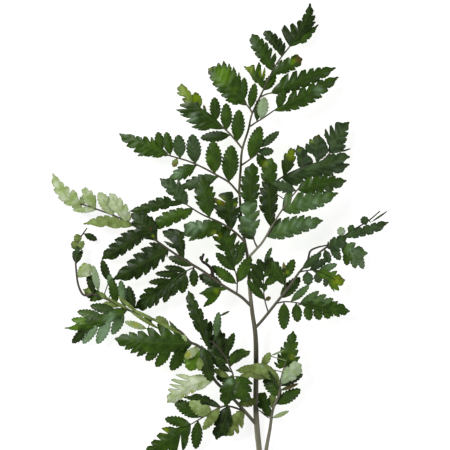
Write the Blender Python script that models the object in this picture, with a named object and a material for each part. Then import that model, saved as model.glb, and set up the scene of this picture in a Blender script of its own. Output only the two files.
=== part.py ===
"""Cut leatherleaf fern frond, lying face up on a flat surface.

One grown piece: the stipe and rachis, the stalks of the pinnae, and every leaflet and lobed blade, fused
into one closed body. Metres, +Z up, +Y from the cut end to the tip. The origin is on the surface, under
the middle of the frond.

The layout is in millimetres on a sheet seen from above: x runs to the right from the sheet's left edge,
and y runs down from its top edge, so the frond's tip has the smallest y. Heights are millimetres above
the surface. A leaf's outline is given in the plane of the sheet, and its height follows from its stalk.
"""

import math

import bpy
from mathutils import Vector
from mathutils.geometry import delaunay_2d_cdt

MM = 0.001

# Driving dimensions, in millimetres
CENTRE_X = 220.25           # middle of the frond on the layout sheet
CENTRE_Y = 253.575
BLADE_THICKNESS = 0.75      # measured straight up, so a steep blade is a little thinner across
STIPE_DIAMETER = 5.6        # at the cut end
RACHIS_SIDES = 8
STALK_SIDES = 4             # two of the sides stand upright, where the leaves meet them
NECK_WIDTH = 1.3            # the flat foot that ties a leaf to its stalk
NECK_MIN = 2.5              # a leaf that starts nearer to its stalk than this has no neck
MIN_TOOTH_STEP = 5.0        # lobe tips closer together than this are left out of the solid
MIN_ARCHED = 8.0            # narrower leaflets are flat
LEAF_FOLD = 0.16            # how far a leaf's edges drop for each millimetre from its midrib
LEAF_ARCH = 0.09            # rise of a leaf's middle over its chord, as a share of its length
LEAF_DROOP = 0.10           # drop of a leaf's tip below its base, as a share of its length
NOTCH_LEAN = 0.35           # where a notch lies between two lobe tips, so that lobes point forward
RIB_WIDTH = 2.2             # the strip that a sprig's leaflets are cut back to
LOOK_AHEAD = 0.1            # share of the way to the rib's end that tells its direction
SPRIG_RISE = 0.22           # a sprig's leaflets rise from the rib, then droop
SPRIG_DROOP = 0.012
WELD = 0.0001               # outline points closer together than this become one

# A leaflet by rule, in shares of its length and of its width
HALF_WIDTH = 0.56           # from its midrib to its margin at the widest place
BELLY_SHIFT = 0.85          # below 1 it moves the widest place towards the base
ROUNDNESS = 0.7             # below 1 it fills the leaflet out towards both ends
FOOT_PLACE = 0.18           # its first corner, and the share of the width there
FOOT_DRAWN = 0.85
BELLY_PLACE = 0.5           # the other corners of a leaflet without lobes
TAPER_PLACE = 0.8
END_LOBE = 0.6              # the part beyond the last lobe, in lobes
NOTCH_PLACE = 0.25          # how far beyond a lobe its notch lies, in lobes
NOTCH_WIDTH = 0.75          # the share of the width at a notch
WIDE_LEAFLET = 12.0         # a wider leaflet has two lobes a side

LEAF_COLOUR = (0.045, 0.095, 0.025, 1.0)
LEAF_ROUGHNESS = 0.42
SHARP_ANGLE = 40.0          # edges that turn more than this stay sharp, in degrees


# Leaves

def leaf(bx, by, tx, ty, width, lift=None, lobes=None):
    """A leaflet from its base to its tip, with lobes by rule on both sides."""
    if lobes is None:
        lobes = 2 if width >= WIDE_LEAFLET else 1
    return {"axis": [(bx, by), (tx, ty)], "width": width, "lobes": lobes, "lift": lift}


def blade(axis, side_a, side_b, lift=None, depth=0.4):
    """A lobed blade: its midrib and, from base to tip, the lobe tips on each of its two sides.

    A third number on a lobe tip is the depth of the notch before it, and 0 leaves that notch out.
    """
    return {"axis": axis, "sides": (side_a, side_b), "depth": depth, "lift": lift}


# Stalks: diameter at both ends and the points x, y, height. Leaves with no stalk grow on the rachis.

RACHIS = {
    "sizes": (STIPE_DIAMETER, 1.5),
    "points": [
        (263.3, 505, 2.4), (262.0, 482, 2.4), (259.3, 450, 3.2), (257.3, 430, 4.4), (256.0, 405, 6.0),
        (256.2, 360, 9.0), (255.5, 335, 10.6), (252.0, 310, 12.0), (249.5, 285, 13.2), (248.0, 260, 14.0),
        (244.5, 240, 14.4), (241.5, 220, 14.6), (239.5, 200, 14.6), (238.5, 190, 14.6), (240.0, 170, 14.4),
        (242.2, 150, 14.0), (248.3, 130, 13.4), (252.0, 114, 12.8), (260.0, 97, 12.0), (268.0, 80, 11.0),
        (277.0, 63, 9.8), (290.0, 46, 8.4),
    ],
}

PINNAE = {
    "top": {
        "leaves": [
            blade([(290, 46), (296, 38), (302, 30), (307, 20), (310.8, 2)],
                  [(281, 32, 0), (284, 24.6, 0), (293, 23, 0.7), (300.4, 20), (304, 14), (306.5, 7)],
                  [(299, 43.5, 0), (308, 41, 0), (314, 33, 0), (319.6, 23.5, 0), (316.5, 19, 0.7),
                   (315.4, 13), (313.5, 7)], lift=-8.4),
            blade([(281.5, 55.5), (273, 43), (264.6, 30.4)],
                  [(274, 50, 0), (266, 43, 0), (263, 35)],
                  [(286, 44, 0), (281, 38.5), (276, 32), (269.5, 29)], lift=-2),
            blade([(272, 70), (262, 52), (252.7, 33)],
                  [(264, 66, 0), (258, 58), (253, 52), (250, 46), (250, 39)],
                  [(274, 59, 0), (272, 50), (267, 42), (260, 35)], lift=-4),
            blade([(263.5, 88.5), (254, 76), (243.5, 66)],
                  [(254, 84, 0), (248, 74), (244, 71, 0)],
                  [(263.5, 80, 0), (265, 67, 0), (258.5, 61.5, 0.5), (250, 64.5)], lift=-5),
            blade([(271.5, 73.5), (286, 67), (302, 61.5)],
                  [(280, 66, 0), (283, 58.5, 0), (291, 57), (298, 55)],
                  [(280, 75, 0), (291, 73), (300, 66)], lift=3),
            leaf(262.5, 92, 278, 77, 7, lift=-5),
        ],
    },
    "right_6": {
        "sizes": (1.8, 1.6),
        "stalk": [(260.5, 96, 12), (266, 93, 12.6), (272, 91.5, 13)],
        "leaves": [
            blade([(271, 92), (290, 83), (312, 75), (336, 67.7)],
                  [(288, 72.3, 0), (297.3, 70.4), (305.8, 69.6), (313.5, 68), (320, 67), (326, 66)],
                  [(282, 94, 0), (295, 90.5, 0), (307.7, 85), (316, 81), (323, 77), (330, 75)],
                  lift=-5),
        ],
    },
    "right_5": {
        "sizes": (1.8, 1.6),
        "stalk": [(250, 125, 13.2), (256, 121, 14), (264, 116.5, 15), (274, 110, 15.5)],
        "leaves": [
            leaf(275, 109, 284, 90, 8, lift=2),
            blade([(274, 110), (295, 99), (317, 88), (339, 76.5)],
                  [(287, 95, 0), (296, 88), (305, 87), (314, 82.5), (325, 78), (331, 76)],
                  [(282, 114, 0), (290, 112), (298, 108.5), (309, 104), (315.4, 100.4), (321.5, 96),
                   (328, 91), (333, 85)], lift=-7),
            leaf(262, 117, 265, 98, 11, lift=3),
            leaf(258, 120, 262, 101, 4, lift=-3),
        ],
    },
    "left_5": {
        "sizes": (1.8, 1.6),
        "stalk": [(252.3, 113, 12.8), (250, 109, 13.2), (246, 104, 13.4), (239, 97, 13)],
        "leaves": [
            leaf(250.5, 109, 256, 84, 9, lift=3),
            leaf(243.8, 101, 245.8, 78, 7, lift=0),
            blade([(247, 105), (235, 93), (222, 81), (208.5, 70)],
                  [(238, 88, 0), (238.5, 72, 0), (233, 67, 0.5), (228.8, 63), (223, 60), (218, 62),
                   (211, 66)],
                  [(239, 103, 0), (231, 103, 0), (224, 97.5), (220, 92), (216, 87.5), (211.5, 82),
                   (208.5, 76)],
                  lift=-6),
        ],
    },
    "right_4": {
        "sizes": (1.8, 1.6),
        "stalk": [(240.5, 166, 14.3), (250, 158.5, 16), (255.4, 153.5, 17), (258.8, 146, 17.4)],
        "leaves": [
            leaf(249.6, 158.5, 261, 126.5, 13, lift=4),
            leaf(258.5, 147, 278.5, 130.8, 9, lift=-2),
            leaf(257, 150.5, 274, 150.4, 8, lift=-3),
            leaf(255.5, 153, 266, 168.8, 10, lift=-5),
        ],
    },
    "left_4": {
        "sizes": (2.0, 1.6),
        "stalk": [(242.6, 149, 14), (237, 142, 15.5), (228, 132, 16.6), (216, 121.5, 16.4), (206, 115, 15.4),
                  (196, 105, 13.5)],
        "leaves": [
            leaf(237, 142, 240.4, 110, 13, lift=4),
            leaf(226.2, 130.4, 225.8, 104, 10, lift=2),
            leaf(216, 121, 214.5, 98, 9, lift=3),
            leaf(206.5, 115, 204, 105.4, 3, lift=2),
            leaf(199.5, 109, 197, 92.7, 6, lift=4),
            blade([(224, 129), (206, 115.6), (196, 105), (182, 84.6)],
                  [(212, 129, 0), (196, 129.5, 0), (191, 126), (185.4, 120), (179.6, 113.5), (177, 107),
                   (179, 99), (176.5, 91.5)],
                  [(201, 108, 0), (194, 96), (188, 88)], lift=-7),
            leaf(231, 136, 201.5, 138.8, 9, lift=-6),
        ],
    },
    "left_3": {
        "sizes": (2.2, 1.6),
        "stalk": [(238.6, 192, 14.6), (230, 181.5, 17), (220, 175, 18.4), (205, 167, 19), (190, 160, 18.2),
                  (177, 156, 16.4), (166, 153, 14.2), (156, 148.5, 12)],
        "leaves": [
            leaf(231, 182, 232, 146, 17, lift=4),
            leaf(215.8, 172, 213.5, 142, 16, lift=3),
            leaf(196.2, 163, 192.3, 135, 14, lift=1),
            leaf(180.6, 157, 178.5, 135.5, 12, lift=3),
            leaf(171, 154.5, 166.7, 132.3, 9, lift=-1),
            leaf(161, 152.5, 158, 132.5, 8, lift=2),
            blade([(169, 154), (150, 146.5), (135, 140), (119, 133.5)],
                  [(158, 143, 0), (150.4, 137), (144, 136), (135, 134.6), (128, 133.6)],
                  [(162, 157, 0), (151, 158.5, 0), (141, 157), (134, 153), (126.5, 147), (122, 141)],
                  lift=-7),
            leaf(179, 157, 175, 167, 3, lift=-1),
            leaf(197.5, 164, 171.5, 178.5, 13, lift=-5, lobes=3),
            leaf(219, 175, 183.5, 186.5, 14, lift=-7, lobes=4),
        ],
    },
    "left_2": {
        "sizes": (2.4, 1.6),
        "stalk": [(245, 242, 14.4), (236, 233, 18), (222, 223, 21), (202.3, 214, 22), (191, 207.5, 21),
                  (183, 202, 19)],
        "leaves": [
            blade([(185, 203), (174, 190), (160.5, 179)],
                  [(174, 197, 0), (167, 191), (162, 184.5)],
                  [(187, 197, 0), (185, 188, 0), (179, 181.5), (170, 178)], lift=-3),
            blade([(232, 229), (229, 212), (225, 192)],
                  [(222, 220, 0), (213.5, 207, 0), (216, 199, 0.5), (220, 194)],
                  [(239, 214, 0), (241, 205), (236, 196), (230, 192)], lift=5),
            leaf(211, 217.5, 203.5, 178, 16, lift=-3, lobes=4),
            blade([(223, 223.5), (204, 226), (184, 224.5)],
                  [(210, 219, 0), (198, 217), (189, 219)],
                  [(217, 235, 0), (204, 238, 0), (195, 239.6), (190, 233), (184, 229)], lift=-5),
            blade([(193, 208.5), (173, 217), (152, 226)],
                  [(183, 208.5, 0), (170.5, 209), (162.6, 212.5), (156.4, 216), (152.5, 221)],
                  [(190, 217, 0), (183, 219.5), (175, 223), (163, 226.5)], lift=-8),
            blade([(184, 203), (158, 206), (129.5, 211)],
                  [(173, 201, 0), (160.4, 196), (152, 198.5), (144.3, 202), (136, 205.5)],
                  [(172, 206.5, 0), (160, 211), (148, 213.8), (138, 213)], lift=-7),
        ],
    },
    "left_1": {
        "sizes": (3.0, 1.6),
        "stalk": [(251, 305.5, 12.2), (241.7, 296, 15), (224, 285, 17.6), (203.3, 270, 18.6),
                  (186.7, 260, 18.4), (170, 249, 17.6), (149.2, 234.5, 16), (130, 223, 13.8), (110, 214, 11.4),
                  (90, 207, 9), (70, 200, 6.4), (58, 189, 5)],
        "leaves": [
            blade([(184, 258), (180, 243), (175, 228)],
                  [(174, 247, 0), (163.8, 240, 0), (163, 230.4)],
                  [(188, 250, 0), (195, 239, 0), (186, 231, 0.3)], lift=-4),
            leaf(160, 242, 138, 215, 18, lift=-2, lobes=3),
            leaf(128.3, 222, 109.6, 195, 15, lift=2, lobes=2),
            leaf(112.5, 215, 99, 193, 10, lift=1),
            leaf(96.3, 209, 85, 187, 12, lift=2),
            blade([(80, 203.5), (67, 196), (53, 174)],
                  [(78, 196, 0), (73.3, 189), (66.7, 186), (61, 182)],
                  [(66, 204, 0), (58, 197.5), (52.5, 188), (51, 181)], lift=-6.5),
            leaf(99, 210, 73.3, 211, 4, lift=-3),
            leaf(134, 226, 84, 225, 12, lift=-7, lobes=3),
            blade([(144.2, 231), (124, 244), (101.7, 258.5)],
                  [(134, 229.5, 0), (127, 228), (119.6, 234), (113.3, 239), (108, 245), (104, 250)],
                  [(143, 243, 0), (136.7, 247), (129.6, 251.5), (121.7, 256), (113, 259.5)], lift=-10),
            blade([(169, 248.5), (142, 263), (113, 279)],
                  [(155, 243, 0), (146, 243.8), (140.4, 249.6), (132.5, 256), (126.7, 262), (119, 271)],
                  [(166, 257, 0), (162.5, 264, 0), (152.5, 270), (144.6, 275.4), (136, 279.6), (125, 280.5)],
                  lift=-12),
            leaf(193, 264.5, 172, 258.5, 7, lift=-3),
            leaf(222, 284, 199.2, 276.5, 9, lift=-6),
            blade([(227, 287), (214, 290.5), (199.2, 293.8)],
                  [(215, 287, 0), (206, 288.5, 0)],
                  [(221, 291, 0), (215, 300, 0), (203.3, 307, 0), (209, 297, 0), (205, 296.5, 0)], lift=-5),
        ],
    },
    "left_1_top": {
        "parent": "left_1",
        "rib": [(237.5, 293, 15.6), (237, 280, 17.5), (233, 263, 17), (228, 247, 15.5)],
        "leaves": [
            leaf(237, 284, 213.5, 267.5, 8),
            leaf(234.5, 270, 217, 255.4, 7),
            leaf(237, 279, 251, 257, 11),
            leaf(233, 263, 243.3, 243.3, 8),
            blade([(231, 255), (226, 242), (223, 229)],
                  [(224, 250, 0), (215, 246, 0), (213.8, 237.5), (218, 230)],
                  [(231.5, 250, 0), (237, 237, 0), (230, 228)], depth=0.5),
        ],
    },
    "left_1_twig": {
        "sizes": (1.8, 1.6),
        "stalk": [(214.6, 278, 18), (212.5, 269, 20), (206.7, 264, 21), (201.3, 260.4, 21.6),
                  (205, 253.8, 22)],
        "leaves": [],
    },
    "left_1_low": {
        "parent": "left_1",
        "rib": [(196, 265.8, 18.5), (183, 273, 16.5), (170, 284, 13), (156, 294.5, 9)],
        "leaves": [
            leaf(188, 270, 165.4, 266.5, 6),
            leaf(179, 276.5, 156.3, 273.5, 6),
            leaf(171, 283, 150, 282.5, 6),
            leaf(192, 268, 193.3, 286.8, 8),
            leaf(184, 272.5, 182, 292.5, 8),
            leaf(177, 278.5, 172.5, 296, 7),
            blade([(166, 287.5), (151, 298), (135, 307)],
                  [(154, 289.5, 0), (144.2, 290), (140.4, 296.7), (136, 302)],
                  [(167, 288.5, 0), (164.6, 302, 0), (156, 306), (149, 308), (142, 311)]),
        ],
    },
    "right_3": {
        "sizes": (2.2, 1.6),
        "stalk": [(240.5, 206, 14.6), (251, 199, 12), (262, 192, 10.4), (282.5, 177, 10), (300, 168, 10.4),
                  (315, 159.5, 10), (328, 152, 9), (336, 144, 7.6)],
        "leaves": [
            leaf(285, 175.5, 292.5, 149.5, 12, lift=3),
            leaf(303, 167, 299, 145, 15, lift=1),
            leaf(316, 159, 315, 135, 16, lift=3, lobes=2),
            blade([(330, 150.5), (339, 138), (350.4, 122)],
                  [(327, 139, 0), (325.5, 129), (331, 124.5), (338, 121.5)],
                  [(345, 150, 0), (347.5, 143), (348.4, 134), (349.5, 128)], lift=-3),
            blade([(284, 176.5), (318, 168), (351, 160)],
                  [(300, 168, 0), (320, 161, 0), (336, 156), (346, 155)],
                  [(300, 179.5, 0), (313, 178), (323, 176.5), (333, 174), (344, 170)], lift=-8),
        ],
    },
    "right_2": {
        "sizes": (2.6, 1.6),
        "stalk": [(247.4, 257, 14), (256, 248, 18), (263, 240, 20.5), (276, 219, 23), (290, 200, 22),
                  (300, 188, 20)],
        "leaves": [
            blade([(271, 227), (270.5, 195), (272.5, 159)],
                  [(263, 213, 0), (259, 200), (260, 186), (261.5, 174), (266, 163)],
                  [(276, 213, 0), (278.5, 201), (278, 186), (277, 172.5), (276, 164)], lift=2, depth=0.2),
            leaf(297, 192, 270, 185, 10, lift=3),
            blade([(266, 236), (295, 227), (323, 220.4)],
                  [(279, 218, 0), (288, 216.5), (297, 215.4), (304, 215), (310.4, 217), (317, 217)],
                  [(277, 240, 0), (286, 239.5), (296, 236), (304.6, 233), (312, 230.5), (318, 226.5)],
                  lift=-8, depth=0.3),
            blade([(283, 210), (311, 202), (338, 193.5)],
                  [(293.5, 195, 0), (303.5, 193), (315, 191.5), (327, 190.5)],
                  [(292, 215, 0), (302, 213), (311, 210.5), (319.6, 208), (328, 203.5), (333, 199)],
                  lift=-7, depth=0.3),
            blade([(299, 189), (323, 184), (346.7, 180.8)],
                  [(308, 177, 0), (319, 175), (326.7, 175), (335, 176.5), (341, 178)],
                  [(310, 193, 0), (324, 192), (334, 190), (341, 186)], lift=-6, depth=0.3),
        ],
    },
    "right_2_top": {
        "sizes": (1.8, 1.6),
        "stalk": [(257, 247, 18.4), (254, 240, 20.4), (253, 230, 22)],
        "leaves": [
            blade([(253, 233), (250, 205), (254, 164)],
                  [(246, 218, 0), (241, 205), (240.8, 194), (242, 179), (247, 167)],
                  [(259, 216, 0), (258, 203), (257.5, 190), (257, 177), (256.5, 169)], lift=2, depth=0.2),
            leaf(253.7, 239.5, 238.5, 226, 8, lift=-3),
            leaf(253.2, 234, 238.5, 216.5, 6, lift=-5),
            leaf(253.5, 235, 262, 214, 7, lift=-6),
        ],
    },
    "right_1": {
        "sizes": (3.0, 1.6),
        "stalk": [(254.5, 328, 11), (263, 318, 14), (275, 303, 17), (290, 285, 19), (301, 270, 19.4),
                  (320, 252, 18), (335, 242, 15.6), (355, 229, 11), (370, 220, 7), (384, 212, 4)],
        "leaves": [
            leaf(279, 299, 300, 279, 10, lift=-5),
            leaf(300.8, 271, 322, 251, 8, lift=3),
            leaf(321, 251, 327, 262, 7, lift=-6),
            leaf(329, 246.5, 341, 261, 8, lift=-7),
            leaf(331, 245, 346, 241, 9, lift=-2),
            blade([(341, 238), (352, 252), (367, 257)],
                  [(350, 243, 0), (358, 242), (364, 247), (369, 252)],
                  [(344, 256, 0), (348, 265), (356, 267.5), (363, 267)], lift=-8),
            leaf(335, 242, 343, 228, 9, lift=4),
            leaf(348, 233.5, 353, 224, 6, lift=3),
            blade([(345, 236), (367, 229.5), (389.5, 222)],
                  [(359, 230.5, 0), (371, 224.5), (381, 222)],
                  [(352, 239, 0), (361, 237.5), (371, 235), (381, 230)], lift=-8.5, depth=0.25),
            leaf(368, 222, 366, 216, 6, lift=2),
        ],
    },
    "right_1_top": {
        "parent": "right_1",
        "rib": [(268, 311.7, 15.2), (265, 300, 16), (263.5, 285, 17), (265, 268, 17.4)],
        "leaves": [
            leaf(264.8, 301, 247.5, 283.5, 7),
            leaf(263.8, 289, 251, 273.5, 6),
            leaf(264, 279.5, 253.5, 266, 4),
            leaf(264, 284, 278, 275.4, 7),
            leaf(264.5, 271, 260, 259.5, 4),
            leaf(264.6, 273, 276.5, 260, 6),
            leaf(265, 266, 271, 248, 4),
        ],
    },
    "right_1_mid": {
        "parent": "right_1",
        "rib": [(286, 289.8, 18.6), (284.6, 280, 21)],
        "leaves": [
            leaf(285, 284.5, 272.7, 263.8, 8),
            leaf(285.5, 278, 295.4, 259.6, 7),
        ],
    },
    "right_1_twig": {
        "sizes": (1.8, 1.6),
        "stalk": [(306, 265.2, 19), (308, 259, 21), (310.4, 252, 22), (317.3, 249, 22.6), (325, 247, 18)],
        "leaves": [],
    },
    "right_1_low": {
        "parent": "right_1",
        "rib": [(275, 303, 17), (286, 302.4, 16.4), (300, 304, 14.4), (315, 306, 12), (330, 308, 9.4)],
        "leaves": [
            leaf(284, 301, 284, 329, 9),
            leaf(296, 303, 297, 321.5, 8),
            leaf(308, 305, 309, 319, 7),
            leaf(318, 306.5, 319, 319, 6),
            leaf(292, 302, 308, 286, 7),
            leaf(301, 304, 317, 291, 6),
            leaf(310, 305, 325, 294, 6),
            leaf(319, 306.5, 331, 298, 5),
            blade([(324, 307.5), (337, 309), (350, 311)],
                  [(333, 305, 0), (337, 301.5, 0), (342, 304), (347, 306.5)],
                  [(328, 317, 0), (333, 316), (338, 315), (344, 314)], depth=0.5),
        ],
    },
    "right_1_side": {
        "parent": "right_1",
        "rib": [(299.5, 272.3, 19.3), (312, 271, 17), (322, 273, 14.6), (335, 280, 11)],
        "leaves": [
            leaf(311, 271, 328, 259, 6),
            leaf(319, 272.5, 337, 263, 6),
            leaf(327, 275.5, 339, 270, 5),
            leaf(308, 271.5, 309, 284, 8),
            leaf(316, 272, 320, 282, 6),
            leaf(326, 275.5, 325, 287, 4),
            blade([(327, 275.7), (336, 280), (345, 280)],
                  [(340, 276, 0)],
                  [(331, 284, 0), (336.5, 291), (341, 284)], depth=0.3),
        ],
    },
    "left_0": {
        "sizes": (3.4, 2.2),
        "stalk": [(256.2, 425, 4.8), (247, 414, 9), (240, 406, 12), (229, 394, 16), (215, 380, 20),
                  (208, 364, 22), (200, 347, 22.4), (190, 341.5, 22), (180, 331, 20.4), (165, 325, 17.6),
                  (150, 318, 14.8), (128, 310, 11.6), (108, 300, 9.4), (90, 293.5, 8)],
        "leaves": [
            leaf(240, 406, 256, 400.5, 8, lift=4),
            blade([(214, 378), (191, 388), (168, 400)],
                  [(196, 377, 0), (176, 375), (170, 382), (166, 391)],
                  [(206, 392, 0), (194, 393.5), (182, 398), (173, 403)], lift=-9, depth=0.2),
            leaf(201, 348, 210, 379, 13, lift=5),
            leaf(196, 344, 190, 369, 17, lift=8),
            blade([(192, 342.5), (168, 342), (141, 341), (115, 340)],
                  [(181, 331, 0), (168, 320), (156, 322.5), (146, 327), (137.5, 331), (124, 332.5)],
                  [(188, 357, 0), (171, 370), (170, 355, 0.5), (155.5, 366), (146, 361), (137, 355),
                   (130, 352), (121, 345.4)], lift=-10),
            leaf(168, 326, 157.5, 316.7, 8, lift=3),
            leaf(148, 317.5, 126, 324, 7, lift=4),
            blade([(127, 310), (97, 321), (64.2, 329)],
                  [(106, 309, 0), (91, 305), (78.3, 311.5), (72.5, 319)],
                  [(120, 327, 0), (111, 334), (97, 343.5), (84, 343.5), (72.5, 343), (66, 335)], lift=-10.5),
            leaf(133, 312, 129, 287, 9, lift=3),
            leaf(122, 307, 120, 280, 9, lift=2),
            leaf(114, 303, 112, 278, 8, lift=3),
            leaf(106, 299, 102, 261, 7, lift=4),
            leaf(93, 294.5, 88, 271, 7, lift=-1),
            leaf(103, 298, 84, 289, 9, lift=-7),
            leaf(99, 297, 94, 268, 5, lift=5),
            leaf(121, 306.5, 104, 306, 4, lift=-4),
        ],
    },
    "left_0_tail": {
        "sizes": (1.8, 1.6),
        "stalk": [(92, 294, 8.2), (84, 294.5, 10.6), (79, 286, 11), (76.7, 272, 10), (75.8, 256, 8),
                  (79, 240, 6), (86.7, 228, 5)],
        "leaves": [
            leaf(77, 268, 86, 270, 7, lift=3),
            leaf(76, 262, 70, 257, 7, lift=-2),
            leaf(76.5, 250, 82, 243.5, 7, lift=2),
            leaf(77.5, 246, 72, 240, 7, lift=-1),
            leaf(83, 234, 96, 239.5, 6.5, lift=-2),
        ],
    },
    "left_0_low": {
        "sizes": (2.2, 1.6),
        "stalk": [(245, 411.5, 9.6), (230, 406.5, 12), (220, 407.5, 13.4), (205, 416, 13), (190, 425, 11)],
        "leaves": [
            leaf(212, 411.5, 190, 401, 15, lift=5),
            leaf(224, 407.5, 184, 396.5, 11, lift=10, lobes=2),
            leaf(203, 417, 175, 402, 13, lift=0),
            leaf(192, 424, 165, 418, 10, lift=3),
            leaf(200, 419, 197, 450, 11, lift=-8),
            blade([(191, 424.5), (168, 440), (143, 455)],
                  [(174, 427, 0), (161.5, 430.4), (156, 436.5), (150, 444), (145, 450)],
                  [(187, 438, 0), (181, 452), (170, 449.5, 0.5), (156, 455)], lift=-10.5),
            leaf(220.5, 407.5, 201, 429, 10, lift=3),
            leaf(229, 406.8, 216, 439.5, 16, lift=-3, lobes=2),
            blade([(244, 411), (234, 420), (225, 437)],
                  [(227, 417, 0), (222, 428)],
                  [(242, 421, 0), (240.4, 430), (235, 434), (230, 436)], lift=-1, depth=0.3),
        ],
    },
    "left_0_top": {
        "sizes": (1.8, 1.6),
        "stalk": [(226, 391, 17), (233, 377, 22), (230, 367, 25), (225, 356, 27), (213, 342, 28),
                  (200, 338, 27)],
        "leaves": [
            leaf(206, 340, 188, 290.5, 18, lift=1, lobes=4),
            leaf(222, 353, 217, 327, 16, lift=-4, lobes=2),
            leaf(217, 346, 219.6, 313, 7, lift=5),
            leaf(226, 358, 236, 333, 10, lift=3),
            leaf(229, 365, 250, 350.5, 11, lift=-2),
            leaf(229, 366, 214, 362, 6, lift=-2),
            leaf(233, 377, 226, 407, 16, lift=-2, lobes=3),
            leaf(234, 377, 245, 402, 17, lift=3, lobes=3),
        ],
    },
    "right_0": {
        "sizes": (4.2, 1.6),
        "stalk": [(261.8, 488, 2.7), (264.5, 468, 3.4), (266.5, 450, 4.6), (270, 430, 6.6), (273, 410, 9),
                  (279, 395, 11), (280.5, 382, 12.4), (284, 368, 13.4), (288, 354, 13.6)],
        "leaves": [
            leaf(271.5, 417, 262, 393, 11, lift=-1, lobes=2),
            leaf(280, 396, 267, 379, 12, lift=-5),
            blade([(280.5, 388), (272, 374), (258, 366), (236, 369)],
                  [(280, 380, 0), (272, 366, 0), (270.5, 354, 0), (261, 361, 0), (248, 364, 0),
                   (237, 366, 0)],
                  [(268, 378, 0), (254, 376, 0), (237, 381.5, 0), (248, 370, 0.2)], lift=6),
            blade([(284, 370), (289, 352), (293.5, 331)],
                  [(274, 365, 0), (278.5, 355), (285.4, 344), (289, 336)],
                  [(296, 364, 0), (299.8, 354), (298, 344), (296.5, 336)], lift=-5, depth=0.25),
            leaf(280.3, 384, 302, 364.6, 18, lift=5, lobes=2),
            leaf(280.5, 387, 302.3, 376, 6, lift=-5),
            leaf(279.5, 391, 297.7, 384.6, 4, lift=-4),
            leaf(275, 404.5, 300.4, 389, 13, lift=-4, lobes=2),
            leaf(272.8, 413, 287.7, 412, 4, lift=-1),
        ],
    },
}


# Geometry

def spot(x, y, z):
    """A place of the layout as a vector in metres."""
    return Vector(((x - CENTRE_X) * MM, (CENTRE_Y - y) * MM, z * MM))


def nearest_on_path(path, point):
    """The nearest place on a flat path: its distance, the place, and its share of the path's length."""
    lengths = [(b - a).length for a, b in zip(path, path[1:])]
    total = sum(lengths)
    best = None
    run = 0.0
    for start, end, length in zip(path, path[1:], lengths):
        along = (point - start).dot(end - start) / (length * length)
        along = min(1.0, max(0.0, along))
        place = start.lerp(end, along)
        gap = (point - place).length
        if best is None or gap < best[0]:
            best = (gap, place, (run + along * length) / total)
        run += length
    return best


def stalk_spot(stalk, point):
    """The nearest place on a stalk seen from above: its distance, the place, and the height there."""
    flat = [Vector(p[:2]) for p in stalk]
    best = None
    for i, (start, end) in enumerate(zip(flat, flat[1:])):
        gap, place, along = nearest_on_path([start, end], point)
        height = stalk[i][2] + along * (stalk[i + 1][2] - stalk[i][2])
        if best is None or gap < best[0]:
            best = (gap, place, height)
    return best


def closed_mesh(name, verts, faces):
    """A new object from points in metres."""
    mesh = bpy.data.meshes.new(name)
    mesh.from_pydata(verts, [], faces)
    mesh.update()
    return bpy.data.objects.new(name, mesh)


def tube(name, points, sizes, sides):
    """A stalk: a tapering tube through its points, flat where it meets the surface."""
    centres = [spot(*p) for p in points]
    last = len(centres) - 1
    verts = []
    faces = []
    for i, centre in enumerate(centres):
        ahead = centres[min(i + 1, last)] - centres[max(i - 1, 0)]
        ahead.normalize()
        across = ahead.cross(Vector((0, 0, 1))).normalized()
        up = across.cross(ahead)
        radius = MM * (sizes[0] + (sizes[1] - sizes[0]) * i / last) / 2
        for k in range(sides):
            turn = 2 * math.pi * (k + 0.5) / sides - math.pi / 2
            point = centre + radius * (math.cos(turn) * across + math.sin(turn) * up)
            point.z = max(point.z, 0.0)
            verts.append(point)
    for i in range(last):
        for k in range(sides):
            a = i * sides + k
            b = i * sides + (k + 1) % sides
            faces.append((b, a, a + sides, b + sides))
    faces.append(tuple(range(sides)))
    faces.append(tuple(last * sides + k for k in reversed(range(sides))))
    return closed_mesh(name, verts, faces)


def side_points(axis, tips, depth):
    """One side of a blade's outline, from base to tip, with a notch before each lobe tip."""
    out = []
    for tip in tips:
        place = Vector(tip[:2])
        cut = tip[2] if len(tip) > 2 else depth
        if cut == 0 or not out:
            out.append(place)
            continue
        if (place - out[-1]).length < MIN_TOOTH_STEP:
            continue
        mouth = out[-1].lerp(place, NOTCH_LEAN)
        inner = nearest_on_path(axis, mouth)[1]
        out.append(mouth.lerp(inner, cut))
        out.append(place)
    return out


def half_width(along):
    """Half the width of a plain leaflet, as a share of its width, along its midrib."""
    return HALF_WIDTH * math.sin(math.pi * along ** BELLY_SHIFT) ** ROUNDNESS


def rule_sides(base, tip, width, lobes):
    """Both sides of a leaflet whose lobes follow a rule."""
    run = tip - base
    across = Vector((run.y, -run.x)).normalized()
    sides = []
    for sign in (1, -1):
        out = across * sign * width
        points = [base + run * FOOT_PLACE + out * half_width(FOOT_PLACE) * FOOT_DRAWN]
        if lobes == 1:
            for along in (BELLY_PLACE, TAPER_PLACE):
                points.append(base + run * along + out * half_width(along))
        else:
            step = 1 / (lobes + END_LOBE)
            for i in range(lobes):
                peak = (i + 1) * step
                notch = peak + NOTCH_PLACE * step
                points.append(base + run * peak + out * half_width(peak))
                points.append(base + run * notch + out * half_width(notch) * NOTCH_WIDTH)
        sides.append(points)
    return sides


def leaf_outline(entry, axis):
    """The outline of a leaf in layout millimetres, without its neck."""
    if "sides" in entry:
        sides = [side_points(axis, tips, entry["depth"]) for tips in entry["sides"]]
    else:
        sides = rule_sides(axis[0], axis[-1], entry["width"], entry["lobes"])
    return sides[0] + [axis[-1]] + list(reversed(sides[1]))


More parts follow.
